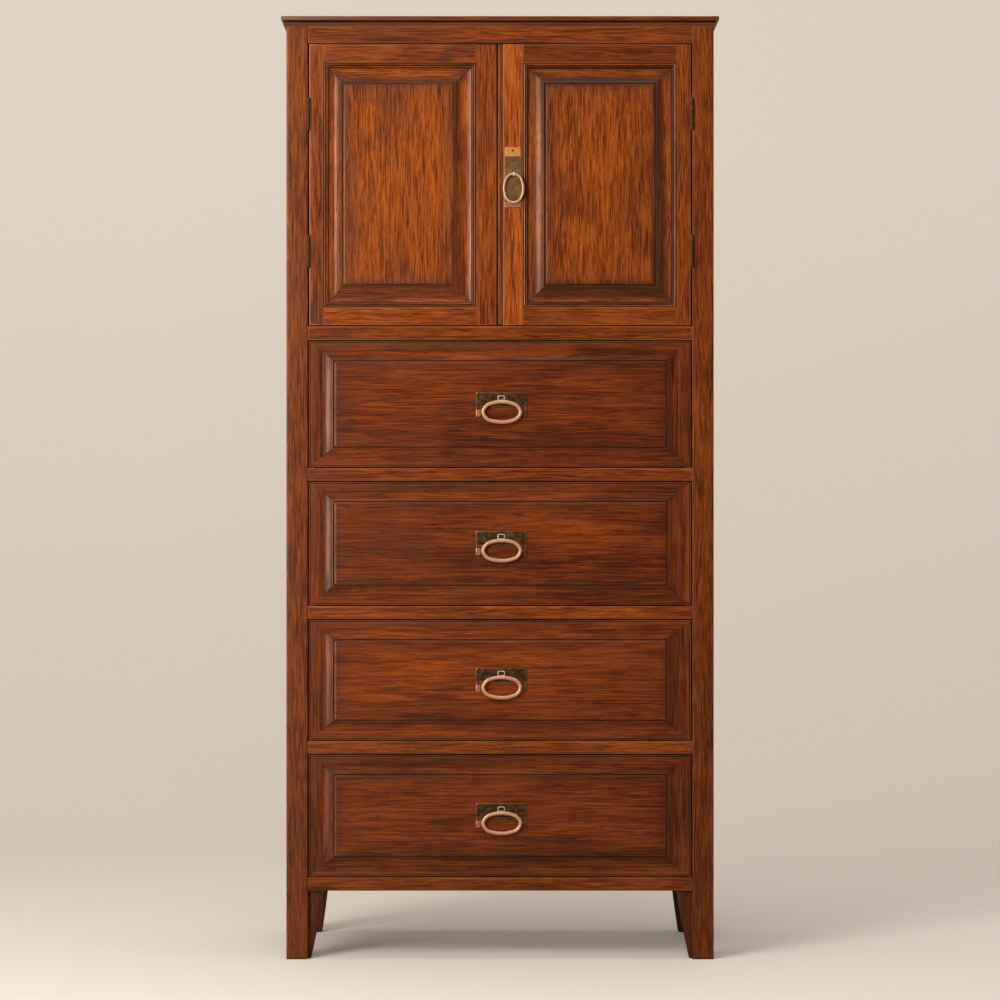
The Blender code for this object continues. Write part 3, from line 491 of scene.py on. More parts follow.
woodTones = {
    "frame": ((0.330, 0.074, 0.0090, 1), (0.195, 0.038, 0.0052, 1), (0.065, 0.013, 0.0032, 1)),
    "field": ((0.400, 0.092, 0.0100, 1), (0.255, 0.050, 0.0060, 1), (0.085, 0.017, 0.0036, 1)),
    "drawer": ((0.275, 0.056, 0.0066, 1), (0.155, 0.028, 0.0040, 1), (0.050, 0.010, 0.0026, 1)),
    "inner": ((0.560, 0.275, 0.100, 1), (0.420, 0.188, 0.064, 1), (0.260, 0.104, 0.033, 1)),
}
woodTones = {name: dict(zip(("Light", "Middle", "Dark"), tones)) for name, tones in woodTones.items()}
uprightWood = woodMaterial("uprightWood", "z", woodTones["frame"], drawn=0.8)
crossWood = woodMaterial("crossWood", "x", woodTones["frame"], drawn=0.7, figure=0.22, fine=0.42)
doorFieldWood = woodMaterial("doorFieldWood", "z", woodTones["field"], strips=37.0)
drawerWood = woodMaterial(
    "drawerWood", "x", woodTones["drawer"], drawn=0.6, figure=0.28, fine=0.36, strips=46.7
)
innerLook = {"tones": woodTones["inner"], "coat": 0.0, "bump": 0.4, "smoke": 0.15, "painted": False}
innerLong = woodMaterial("innerLong", "x", **innerLook)
innerDeep = woodMaterial("innerDeep", "y", **innerLook, boxed=True)
innerTall = woodMaterial("innerTall", "z", **innerLook)

# bare metal, its patina, how much of it the patina covers, metallic, gloss
metals = {
    "plateBronze": ((0.22, 0.105, 0.045), (0.030, 0.0125, 0.0045), 0.92, 0.1, 0.25),
    "doorBronze": ((0.32, 0.17, 0.075), (0.110, 0.052, 0.018), 0.80, 0.1, 0.25),
    "ringCopper": ((0.66, 0.35, 0.19), (0.46, 0.215, 0.105), 0.28, 0.30),
    "ringBrass": ((0.66, 0.39, 0.235), (0.46, 0.25, 0.13), 0.25, 0.30),
    "tabCopper": ((0.52, 0.22, 0.09), (0.25, 0.095, 0.038), 0.30, 0.5),
    "dimCopper": ((0.14, 0.060, 0.026), (0.045, 0.018, 0.008), 0.75, 0.1, 0.25),
    "capBrass": ((0.74, 0.30, 0.080), (0.46, 0.17, 0.040), 0.30, 0.3),
    "stapleSteel": ((0.70, 0.56, 0.44), (0.012, 0.008, 0.006), 0.12, 0.30),
    "hingeBrass": ((0.085, 0.038, 0.020), (0.024, 0.009, 0.004), 0.75, 0.1, 0.3),
    "nailIron": ((0.12, 0.08, 0.05), (0.014, 0.009, 0.006), 0.80, 0.5),
}
metals = {name: metalMaterial(name, *values) for name, values in metals.items()}


# studio sweep: a floor that curves up into a wall
studio = {
    "halfWidth": 16.0, "front": -14.0, "wallAt": 3.4, "curve": 1.5, "height": 6.0,
    "floorColour": (0.80, 0.732, 0.653, 1), "floorBounce": (0.34, 0.295, 0.245, 1),
    "floorLift": (0.13, 0.114, 0.095, 1), "lowWall": (0.640, 0.553, 0.462, 1),
    "highWall": (0.745, 0.653, 0.553, 1), "rightWallShade": (0.30, 0.24, 0.19, 1),
    # where tones change, in metres: up the wall, darker low down, and across it, darker to the right, both painted
    # shade; from floor to wall, which fades the floor's shadow out behind the piece; out to the sides and front
    "rise": (0.0, 1.9), "across": (-1.0, 1.6, 0.0, 0.10), "toWall": (0.25, 2.6),
    "evenOut": (2.5, 8.0), "fadeOut": (1.8, 5.0),
}


def studioMaterial():
    # a lit floor that keeps the shadow, paler to the eye than in what it throws back, and a wall with its own
    # pale tone that can be looked through from behind
    material = bpy.data.materials.new("studioPaper")
    material.use_nodes = True
    tree = material.node_tree
    span, mix, times, most = (toolsFor(tree)[index] for index in (1, 2, 3, 6))
    ray = addNode(tree, "LightPath").outputs
    seen = ray["Is Camera Ray"]
    place = splitOf(tree, addNode(tree, "TexCoord").outputs["Object"])
    aside = sums(tree, "ABSOLUTE", place["X"])

    def outwards(near, far):
        return most(span(aside, near, far), span(place["Y"], -near, -far))

    floor = tree.nodes["Principled BSDF"]
    feed(tree, floor, {
        "Base Color": mix(seen, studio["floorBounce"], studio["floorColour"]),
        "Emission Color": studio["floorLift"], "Emission Strength": seen,
        "Roughness": 0.85, "Specular IOR Level": 0.15,
    })
    # the wall's tone, painted shade: darker low down and towards the right
    tone = mix(span(place["Z"], *studio["rise"]), studio["lowWall"], studio["highWall"])
    tone = mix(span(place["X"], *studio["across"]), tone, studio["rightWallShade"])
    tone = mix(outwards(*studio["evenOut"]), tone, studio["highWall"])
    wall = addNode(tree, "Emission", {"Color": tone})
    mirrored = most(most(seen, ray["Is Glossy Ray"]), ray["Is Transmission Ray"])
    away = times(mirrored, span(place["Y"], *studio["toWall"]))
    away = most(away, times(seen, outwards(*studio["fadeOut"])))
    paper = addNode(tree, "MixShader", {"Fac": away, 1: floor.outputs["BSDF"], 2: wall.outputs["Emission"]})
    behind = times(addNode(tree, "NewGeometry").outputs["Backfacing"], seen)
    clear = addNode(tree, "BsdfTransparent").outputs["BSDF"]
    sheet = addNode(tree, "MixShader", {"Fac": behind, 1: paper.outputs["Shader"], 2: clear})
    feed(tree, tree.nodes["Material Output"], {"Surface": sheet.outputs["Shader"]})
    return material


def buildStudio():
    depth = studio["wallAt"] - studio["front"]
    nearWall = studio["wallAt"] - 0.01
    selectOnly()
    bpy.ops.mesh.primitive_plane_add(size=1, location=(0, studio["front"] + depth / 2, 0))
    sweep = bpy.context.active_object
    sweep.name = "studioSweep"
    sweep.scale = (2 * studio["halfWidth"], depth, 1)
    bpy.ops.object.transform_apply()
    editMesh()
    pickEdges(sweep, lambda edge: all(vert.co.y > nearWall for vert in edge.verts))
    extrudeUp(studio["height"])

    def atFoot(edge):
        return all(vert.co.y > nearWall and vert.co.z < 0.01 for vert in edge.verts)

    roundEdges(sweep, atFoot, studio["curve"], 32)
    bpy.ops.mesh.select_all(action="SELECT")
    bpy.ops.mesh.normals_make_consistent(inside=True)
    leaveMesh()
    bpy.ops.object.shade_smooth()
    sweep.data.materials.append(studioMaterial())


# lamps: a strong soft box on the left, one overhead, and weak ones to the right, in front and behind
lamps = {
    # place, aim, size, power, and whether it shows in glossy surfaces
    "leftBox": ((-2.15, -3.25, 1.75), (0, 0, 1.35), (1.6, 2.8), 120, True),
    "rightBox": ((4.6, -2.4, 1.6), (0, 0, 0.9), (1.2, 2.4), 16, True),
    "highFront": ((-1.0, -3.9, 4.2), (-0.2, 0, 0.6), (4.4, 2.4), 94, False),
    "backBox": ((0.3, 3.0, 2.6), (0, 0.2, 0.9), (3.0, 2.0), 12, False),
    "overhead": ((-0.2, -0.2, 5.6), (-0.2, 0, 0), (3.0, 2.8), 112, True),
}
lampColour = (1.0, 0.97, 0.93)
ambient = {"Color": (1.0, 0.965, 0.92, 1), "Strength": 0.035}


def buildLight():
    for name, (place, aim, size, power, glossy) in lamps.items():
        selectOnly()
        bpy.ops.object.light_add(type="AREA", location=place)
        made = bpy.context.active_object
        made.name = name
        made.rotation_euler = (Vector(aim) - Vector(place)).to_track_quat("-Z", "Y").to_euler()
        made.data.shape = "RECTANGLE"
        made.data.size, made.data.size_y = size
        made.data.energy = power
        made.data.color = lampColour
        made.visible_glossy = glossy
        made.visible_camera = False
    world = bpy.data.worlds.new("studioAir")
    bpy.context.scene.world = world
    world.use_nodes = True
    tree = world.node_tree
    feed(tree, tree.nodes["Background"], ambient)
    air = tree.nodes["Background"].outputs["Background"]
    pale = addNode(tree, "Background", {"Color": studio["highWall"]}).outputs["Background"]
    seen = addNode(tree, "LightPath").outputs["Is Camera Ray"]
    sky = addNode(tree, "MixShader", {"Fac": seen, 1: air, 2: pale})
    feed(tree, tree.nodes["World Output"], {"Surface": sky.outputs["Shader"]})


buildStudio()
buildLight()
print("studio and materials ready")


# carcass: legs with their shaped feet, rails, top board, panelled sides
legs = {
    "width": 40 * mm, "round": 1.2 * mm, "root": 6 * mm, "lift": 0.4 * mm,
    "rings": (0.03, 0.15, 0.7, 1.4, 1.7),
    # darker towards the floor, from dirt and from painted shade where less light falls low down; painted shade on
    # the shaped feet, which sit back in shadow, and under the top
    "grime": ((0.001, 0.9), (0.003, 0.55), (0.03, 0.52), (0.15, 0.46), (0.7, 0.32), (1.4, 0.16)),
    "footGrime": 0.96, "footInside": 0.359, "topGrime": 0.25, "topReach": 40 * mm,
}
feet = {
    "front": {"swell": 27 * mm, "toe": 5 * mm, "fromFace": 12 * mm, "toFace": 0.0},
    "rear": {"swell": 20.5 * mm, "toe": 5 * mm, "fromFace": 0.0, "toFace": 12 * mm},
    "bend": 1.3, "steps": 10, "round": 1.2 * mm, "underRail": 0.3 * mm,
}


def buildLeftLeg(word):
    low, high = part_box(f"{word}_left_leg")
    inner = low.x + legs["width"]
    post = easeBlock(low, (inner, high.y, high.z), legs["round"], 3)
    editMesh()
    for height in legs["rings"]:
        cutAcross((0, 0, height), (0, 0, 1))
    leaveMesh()
    foot, steps, lift = feet[word], feet["steps"], legs["lift"]
    root = inner - legs["root"]
    rise = (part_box("bottom_rail")[0].z - feet["underRail"] - lift) / steps
    wide = legs["root"] + foot["toe"]
    bracket = addBlock(
        (root, low.y + foot["fromFace"], lift), (root + wide, high.y - foot["toFace"], lift + rise)
    )
    editMesh()
    pickFaces(bracket, lambda face: face.normal.z > 0.9)
    for step in range(1, steps + 1):
        if step > 1:
            extrudeUp(rise)
        share = 1 - (1 - step / steps) ** feet["bend"]
        newWide = legs["root"] + foot["toe"] + (foot["swell"] - foot["toe"]) * share
        bpy.ops.transform.resize(
            value=(newWide / wide, 1, 1), center_override=(root, low.y, lift + rise * step)
        )
        wide = newWide
    roundEdges(bracket, lambda edge: edge.calc_face_angle(0) > math.radians(50), feet["round"], 3)
    leaveMesh()
    return joinPieces([post, bracket])


def legShade(top, co):
    # painted shade on the shaped feet and under the top, over the darkening towards the floor from dirt and
    # painted shade
    foot = legs["footGrime"] if abs(co.x) < legs["footInside"] else 0.0
    under = legs["topGrime"] * max(0.0, 1 - (top - co.z) / legs["topReach"])
    return max(foot, tableAt(legs["grime"], co.z), under)


def buildLegs():
    for word in ("front", "rear"):
        left = buildLeftLeg(word)
        for side, leg in (("left", left), ("right", copyPiece(left, mirror=True))):
            node = f"{word}_{side}_leg"
            finishPiece(leg, f"{node}Post", node, uprightWood, partial(legShade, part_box(node)[1].z))


rails = {
    "between": 359.7 * mm, "round": 1.0 * mm, "depth": 45 * mm, "board": 12 * mm, "clear": 0.2 * mm,
    "behindDoor": 0.6 * mm, "overDoor": 1.75 * mm, "stopLap": 2 * mm, "boardDrop": 0.05 * mm,
    "grime": 0.9, "underShadeBand": 1.2 * mm,
}


def lowEdge(bottom, co):
    # painted shade along the under arris
    return rails["grime"] if co.z < bottom + rails["underShadeBand"] else 0.0


def buildRails():
    half, clear = rails["between"], rails["clear"]

    def rail(low, high):
        return easeBlock((-half, *low), (half, *high), rails["round"], test=isLong)

    for node in ("drawer_rail_1", "drawer_rail_2", "drawer_rail_3", "bottom_rail"):
        low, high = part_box(node)
        finishPiece(rail(low.yz, high.yz), f"{node}Board", node, crossWood, partial(lowEdge, low.z))
    low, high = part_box("top_rail")
    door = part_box("left_door_hinge_stile")[1]
    roof = door.z + rails["overDoor"]
    front = rail((low.y, roof), high.yz)
    stop = easeBlock(
        (-half, door.y + rails["behindDoor"], low.z), (half, high.y - clear, roof + rails["stopLap"])
    )
    topRail = joinPieces([front, stop])
    finishPiece(topRail, "top_railBoard", "top_rail", crossWood, partial(lowEdge, roof))
    low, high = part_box("cupboard_floor")
    behind = low.y + rails["depth"]
    front = rail(low.yz, (behind, high.z))
    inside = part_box("left_side_panel")[1].x + clear
    board = easeBlock(
        (inside, behind + clear, high.z - rails["board"]), (-inside, high.y, high.z - rails["boardDrop"])
    )
    floor = joinPieces([front, board])
    finishPiece(floor, "cupboard_floorBoard", "cupboard_floor", crossWood, partial(lowEdge, low.z))


topBoard = {
    # the hollow under the nose (inset at the ends, in front, and drop) and the side mouldings (width, drop)
    "nose": 7.8 * mm, "round": 0.9 * mm, "crown": 1.6 * mm, "bands": (5 * mm, 40 * mm), "clear": 0.3 * mm,
    "hollow": (
        (0.8, 1.0, 0.1), (1.8, 5.0, 0.5), (3.0, 9.5, 1.0), (4.4, 11.4, 2.0), (5.2, 11.7, 3.4),
        (5.7, 11.9, 6.2), (5.9, 12.9, 6.6), (6.0, 13.1, 9.8),
    ),
    "coveWide": 3.2 * mm, "coveStart": 0.5 * mm,
    "cove": ((2.7, 1.4), (2.2, 3.0), (1.7, 4.6), (1.3, 6.0), (1.0, 7.2)),
    "noseGrime": 0.45, "hollowGrime": 0.9,
}


def buildTop():
    low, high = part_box("top_board")
    high = high + Vector((0, 0, topBoard["crown"]))
    nose = high.z - topBoard["nose"]
    slab = addBlock((low.x, low.y, nose), high)
    editMesh()
    pickFaces(slab, lambda face: face.normal.z < -0.9)
    wideX, wideY, drop = high.x - low.x, high.y - low.y, 0.0
    for end, front, newDrop in topBoard["hollow"]:
        newX, newY = high.x - low.x - 2 * end * mm, high.y - low.y - front * mm
        bpy.ops.mesh.extrude_region()
        bpy.ops.transform.resize(value=(newX / wideX, newY / wideY, 1), center_override=(0, high.y, nose))
        bpy.ops.transform.translate(value=(0, 0, (drop - newDrop) * mm))
        wideX, wideY, drop = newX, newY, newDrop

    def onNose(edge):
        return all(vert.co.z > nose - 0.01 * mm for vert in edge.verts) and edge.calc_face_angle(0) > 1

    roundEdges(slab, onNose, topBoard["round"], 3)
    pickFaces(slab, lambda face: face.normal.z > 0.99 and face.calc_area() > 0.1)
    for band in topBoard["bands"]:
        bpy.ops.mesh.inset(thickness=band, depth=0)
    leaveMesh()
    cove = buildCove(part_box("front_right_leg"), high.y)
    board = joinPieces([slab, cove, copyPiece(cove, mirror=True)])

    def shade(co):
        # the nose is darker, and the hollow under it the darkest, a painted shadow under the nose
        if co.z > high.z - 0.1 * mm:
            return 0.0
        return topBoard["noseGrime"] if co.z > nose - 0.05 * mm else topBoard["hollowGrime"]

    finishPiece(board, "top_boardSlab", "top_board", crossWood, shade)


def buildCove(leg, back):
    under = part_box("top_rail")[1].z + topBoard["clear"]
    inner, wide, drop = leg[1].x + topBoard["clear"], topBoard["coveWide"], 0.0
    strip = addBlock((inner, leg[0].y, under), (inner + wide, back, under + topBoard["coveStart"]))
    editMesh()
    pickFaces(strip, lambda face: face.normal.z < -0.9)
    for newWide, newDrop in topBoard["cove"]:
        extrudeUp((drop - newDrop) * mm)
        bpy.ops.transform.resize(
            value=(newWide * mm / wide, 1, 1), center_override=(inner, 0, under - newDrop * mm)
        )
        wide, drop = newWide * mm, newDrop
    leaveMesh()
    return strip


sides = {
    "sinking": 5 * mm, "topRail": 62 * mm, "middleRail": 48 * mm, "bottomRail": 62 * mm,
    "legDepth": 45.3 * mm, "middleDrop": 13.25 * mm, "clear": 0.3 * mm, "short": 0.5 * mm, "lap": 1 * mm,
    "round": 1.6 * mm, "fieldRound": 0.5 * mm, "grime": 0.35, "darkReach": 90 * mm,
}


def buildSides():
    low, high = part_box("left_side_panel")
    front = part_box("front_left_leg")[0].y + sides["legDepth"]
    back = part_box("rear_left_leg")[0].y - sides["clear"]
    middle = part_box("cupboard_floor")[1].z - sides["middleDrop"]
    sunk, short = low.x + sides["sinking"], sides["short"]
    parts = [easeBlock((sunk, front, low.z + short), (high.x, back, high.z - short), sides["fieldRound"])]
    for bottom, top in (
        (low.z, low.z + sides["bottomRail"]),
        (middle - sides["middleRail"] / 2, middle + sides["middleRail"] / 2),
        (high.z - sides["topRail"], high.z),
    ):
        parts.append(easeBlock((low.x, front, bottom), (sunk + sides["lap"], back, top), sides["round"], 3))
    left = joinPieces(parts)

    def shade(co):
        # darker towards the top and bottom ends
        return sides["grime"] * max(0.0, 1 - min(co.z - low.z, high.z - co.z) / sides["darkReach"])

    for side, panel in (("left", left), ("right", copyPiece(left, mirror=True))):
        node = f"{side}_side_panel"
        finishPiece(panel, f"{node}Boards", node, uprightWood, shade)


buildLegs()
buildRails()
buildTop()
buildSides()
print("carcass dressed")


# doors: frames, raised panels, meeting bead and hinges
panelProfile = {
    # margin from the frame's edge and depth behind the door's face, in millimetres
    "sticking": (
        (0.3, 10.0), (0.3, 3.2), (1.2, 3.2), (1.4, 1.8), (1.9, 1.1), (2.8, 0.8), (3.6, 1.1), (4.1, 1.8),
        (4.4, 3.8), (5.4, 4.2), (5.6, 3.2), (6.1, 2.4), (6.8, 2.1), (7.5, 2.5), (7.9, 3.4), (8.2, 5.8),
        (9.0, 6.4),
    ),
    "innerBead": (5.5, 8), "deep": (20.0, 7.6), "top": (36.0, 1.0), "steps": 9, "field": 37,
    "arris": (
        (36.4, 2.2), (37.1, 2.4), (37.5, 0.8), (37.9, 0.25), (38.5, 0.0), (42.0, 0.0), (50.0, 0.0),
        (62.0, 0.0), (84.0, 0.0),
    ),
    "from": 10.0, "back": 16.0,
    # glaze and painted shade by margin: all round, painted shade on the bevels above and below the field, and
    # where mitres show
    "shade": (
        (8.2, 1.0), (9.0, 1.0), (9.7, 0.3), (11, 0.0), (29, 0.0), (33.0, 0.35), (36.0, 0.95), (37.3, 1.0),
        (37.9, 0.25), (38.5, 0.25), (42, 0.50), (50, 0.26), (62, 0.10), (84, 0.0),
    ),
    "topGlaze": (
        (8.5, 0.0), (9, 0.6), (11.5, 0.45), (14, 0.0), (22, 0.12), (27, 0.45), (31, 0.80), (34, 0.95),
        (39, 1.0), (40, 0.0),
    ),
    "lowGlaze": (
        (9, 0.0), (12, 0.0), (15, 0.25), (19, 0.65), (26, 0.65), (30, 0.55), (34, 0.75), (39, 0.95),
        (40, 0.0),
    ),
    "topGrime": (9.5, 38), "lowGrime": (14, 38),
    "mitreZone": ((8.9, 0), (9.6, 1), (36.0, 1), (38.0, 0)),
    # each door was shaped by hand: the outer lip, how the hollow bends up to the field, how far the field
    # sits aside, how much more the bevel takes at the sides and at the bottom, its quirk, how much deeper
    # its inner bead lies, the glaze and painted shade round its beads and on its right bevel, and painted shade
    # added on its upper and lower bevels
    "left": {
        "lip": (9.4, 5.9), "bend": 1.35, "aside": -2.4, "wider": 1.5, "taller": 1.9, "quirk": 0.5,
        "sunk": 0.0, "beads": (
            (-8, 1.0), (1.2, 1.0), (1.9, 0.75), (2.8, 0.6), (3.6, 0.8), (4.3, 1.0), (5.4, 1.0), (6.1, 0.1),
            (7.5, 0.1),
        ),
        "rightGlaze": ((9, 0.0), (22, 0.0), (28, 0.25), (33, 0.60), (37.5, 0.85), (38, 0.0)), "grime": 0.0,
    },
    "right": {
        "lip": (9.4, 7.3), "bend": 1.8, "aside": 0.6, "wider": 2.2, "taller": 1.2, "quirk": 2.2,
        "sunk": 1.2, "beads": (
            (-8, 1.0), (1.2, 1.0), (1.9, 0.15), (2.8, 0.0), (3.6, 0.15), (4.3, 1.0), (5.4, 1.0), (6.1, 1.0),
            (7.5, 1.0),
        ),
        "rightGlaze": ((9, 0.0), (16, 0.0), (21, 0.35), (26, 0.65), (37.5, 0.92), (38, 0.0)), "grime": 0.22,
    },
}


def scoopLine(lip, deep, top, steps, bend):
    # a hollow bevel: its outer lip turned up, flat in the middle, steep beside the field
    line = []
    for k in range(steps + 1):
        share = k / steps
        line.append((lip[0] + (deep[0] - lip[0]) * share, deep[1] + (lip[1] - deep[1]) * (1 - share) ** 2))
    for k in range(1, steps + 1):
        share = k / steps
        line.append((deep[0] + (top[0] - deep[0]) * share, deep[1] + (top[1] - deep[1]) * share**bend))
    return line


def buildPanel(node, opening):
    low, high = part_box(node)
    x0, x1, z0, z1 = opening
    middleX, middleZ = (x0 + x1) / 2, (z0 + z1) / 2
    profile = panelProfile
    own = profile["left" if node.startswith("left") else "right"]
    lip, top, field = own["lip"], profile["top"], profile["field"]
    beadFrom, beadTo = profile["innerBead"]
    line = []
    for margin, depth in profile["sticking"]:
        line.append((margin, depth + own["sunk"] * (beadFrom < margin < beadTo)))
    line += scoopLine(lip, profile["deep"], top, profile["steps"], own["bend"])
    line += [(margin + own["quirk"] * (margin > field), depth) for margin, depth in profile["arris"]]

    def rampAt(margin):
        # from 0 at the lip to 1 at the top of the bevel
        return min(1.0, max(0.0, (margin - lip[0]) / (top[0] - lip[0])))

    steps, edge = [], x0 - low.x
    for margin, depth in line:
        ramp = rampAt(margin)
        across, upright = margin + own["wider"] * ramp, margin + own["taller"] * ramp
        steps.append((
            edge + across * mm, edge + upright * mm, faceY + depth * mm,
            own["aside"] * ramp * mm, own["taller"] * ramp * mm,
        ))
    start = faceY + profile["from"] * mm
    block = mouldFront(low, high, start, faceY + profile["back"] * mm, steps, (middleX, faceY, middleZ))

    def profileMargin(flat, slip):
        # the profile's own margin where its bevel was moved by slip
        margin = flat
        for _ in range(12):
            margin = flat + slip * rampAt(margin)
        return margin

    def mitre(co):
        toLeft, toRight, toFoot, toHead = (gap / mm for gap in (co.x - x0, x1 - co.x, co.z - z0, z1 - co.z))
        aside = -own["aside"] if toLeft < toRight else own["aside"]
        across = profileMargin(min(toLeft, toRight), aside - own["wider"])
        upright = profileMargin(min(toFoot, toHead), -2 * own["taller"] if toFoot < toHead else 0.0)
        return across, upright, tableAt(profile["mitreZone"], min(across, upright))

    def shade(co):
        if co.y > start - 0.1 * mm:
            return 0.0
        across, upright, _ = mitre(co)
        margin = min(across, upright)
        if margin > field:
            margin = max(field, margin - own["quirk"])
        darkening = tableAt(own["beads"] + profile["shade"], margin)
        # painted shade on the bevels above and below the field, and on the bevel at the right
        if upright < across + 0.5:
            word = "top" if co.z > middleZ else "low"
            shadeFrom, shadeTo = profile[f"{word}Grime"]
            grime = own["grime"] * (shadeFrom < margin < shadeTo)
            darkening = max(darkening, tableAt(profile[f"{word}Glaze"], margin) + grime)
        elif co.x > middleX:
            darkening = max(darkening, tableAt(own["rightGlaze"], margin))
        return darkening

    finishPiece(block, f"{node}Raised", node, doorFieldWood, shade, smoothAngle=32, mitre=mitre)


# painted shade on the boards' edges beside the panel and on the stiles' outer arris; the rails' ends darker at the
# joints
doors = {
    "stileRound": 0.7 * mm, "railRound": 0.5 * mm, "joint": 0.1 * mm, "band": 1 * mm,
    "innerGlaze": 0.5, "outerGlaze": 0.75, "endGlaze": 0.4,
}


def buildDoor(word):
    stiles = ("hinge_stile", "meeting_stile")
    boxes = {part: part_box(f"{word}_door_{part}") for part in (*stiles, "top_rail", "bottom_rail")}
    left = min(boxes[part][1].x for part in stiles)
    right = max(boxes[part][0].x for part in stiles)
    band, joint = doors["band"], doors["joint"]
    for part, (low, high) in boxes.items():
        node = f"{word}_door_{part}"
        if part in stiles:
            outer = low.x if (word == "left") == (part == "hinge_stile") else high.x

            def onOuter(edge):
                return all(abs(vert.co.x - outer) < 0.1 * mm for vert in edge.verts)

            def shade(co):
                # painted shade on the outer arris and beside the panel
                out = abs(co.x - outer)
                inward = doors["innerGlaze"] if out > high.x - low.x - band else 0.0
                return doors["outerGlaze"] if out < band else inward

            board = easeBlock(low, high, doors["stileRound"], test=onOuter)
        else:
            inner = low.z if part == "top_rail" else high.z

            def shade(co):
                # painted shade beside the panel; the ends darker at the joints
                end = doors["endGlaze"] if min(co.x - left, right - co.x) < band else 0.0
                return doors["innerGlaze"] if abs(co.z - inner) < band else end

            board = easeBlock(
                (left + joint, low.y, low.z), (right - joint, high.y, high.z), doors["railRound"], test=isLong
            )
        finishPiece(board, f"{node}Board", node, uprightWood if part in stiles else crossWood, shade)
    buildPanel(f"{word}_door_panel", (left, right, boxes["bottom_rail"][1].z, boxes["top_rail"][0].z))


bead = {
    "round": 2.4 * mm, "band": 1 * mm, "darkening": 0.25,
    "nails": (22, 101, 178, 262, 341, 425, 504), "nailRadius": 1.1 * mm, "nailHeight": 0.35 * mm,
}


def buildBead():
    low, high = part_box("meeting_bead")
    strip = easeBlock(low, high, bead["round"], 4, bead["band"])
    finishPiece(strip, "meetingBeadStrip", "meeting_bead", uprightWood, lambda co: bead["darkening"])
    first, *others = bead["nails"]
    place = ((low.x + high.x) / 2, low.y, low.z + first * mm)
    head = addStud(place, bead["nailRadius"], bead["nailHeight"])
    heads = [head] + [copyPiece(head, (0, 0, (up - first) * mm)) for up in others]
    finishPiece(joinPieces(heads), "meetingBeadNails", "meeting_bead", metals["nailIron"], replaced=False)


hinges = {
    "axis": 3.5 * mm, "radius": 2.6 * mm, "knuckles": 5, "gap": 0.15 * mm, "round": 0.15 * mm,
    # each leaf's first knuckle, and its two faces beside the pin
    "leaves": {"frame": (0, -0.9 * mm, -0.15 * mm), "door": (1, 0.15 * mm, 0.9 * mm)},
}


def buildHinges():
    # modelled on the left door's upper hinge, then copied down and across
    low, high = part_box("left_upper_hinge_frame_leaf")
    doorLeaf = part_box("left_upper_hinge_door_leaf")
    step = (high.z - low.z) / hinges["knuckles"]
    x = (low.x + high.x + doorLeaf[0].x + doorLeaf[1].x) / 4
    y = low.y + hinges["axis"]
    barrel = softDrum((x, y, low.z + step / 2), hinges["radius"], step - 2 * hinges["gap"], 28)
    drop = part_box("left_lower_hinge_frame_leaf")[0].z - low.z
    made = [barrel]
    for leaf, (first, near, far) in hinges["leaves"].items():
        parts = [copyPiece(barrel, (0, 0, k * step)) for k in range(first, hinges["knuckles"], 2)]
        parts.append(easeBlock((x + near, y, low.z), (x + far, high.y, high.z), hinges["round"]))
        made.append(joinPieces(parts))
        for end, shift in (("upper", 0.0), ("lower", drop)):
            for side in ("left", "right"):
                node = f"{side}_{end}_hinge_{leaf}_leaf"
                work = copyPiece(made[-1], (0, 0, shift), side == "right")
                finishPiece(work, f"{node}Work", node, metals["hingeBrass"])
    dropPieces(made)


for doorWord in ("left", "right"):
    buildDoor(doorWord)
buildHinges()
buildBead()
print("doors dressed")


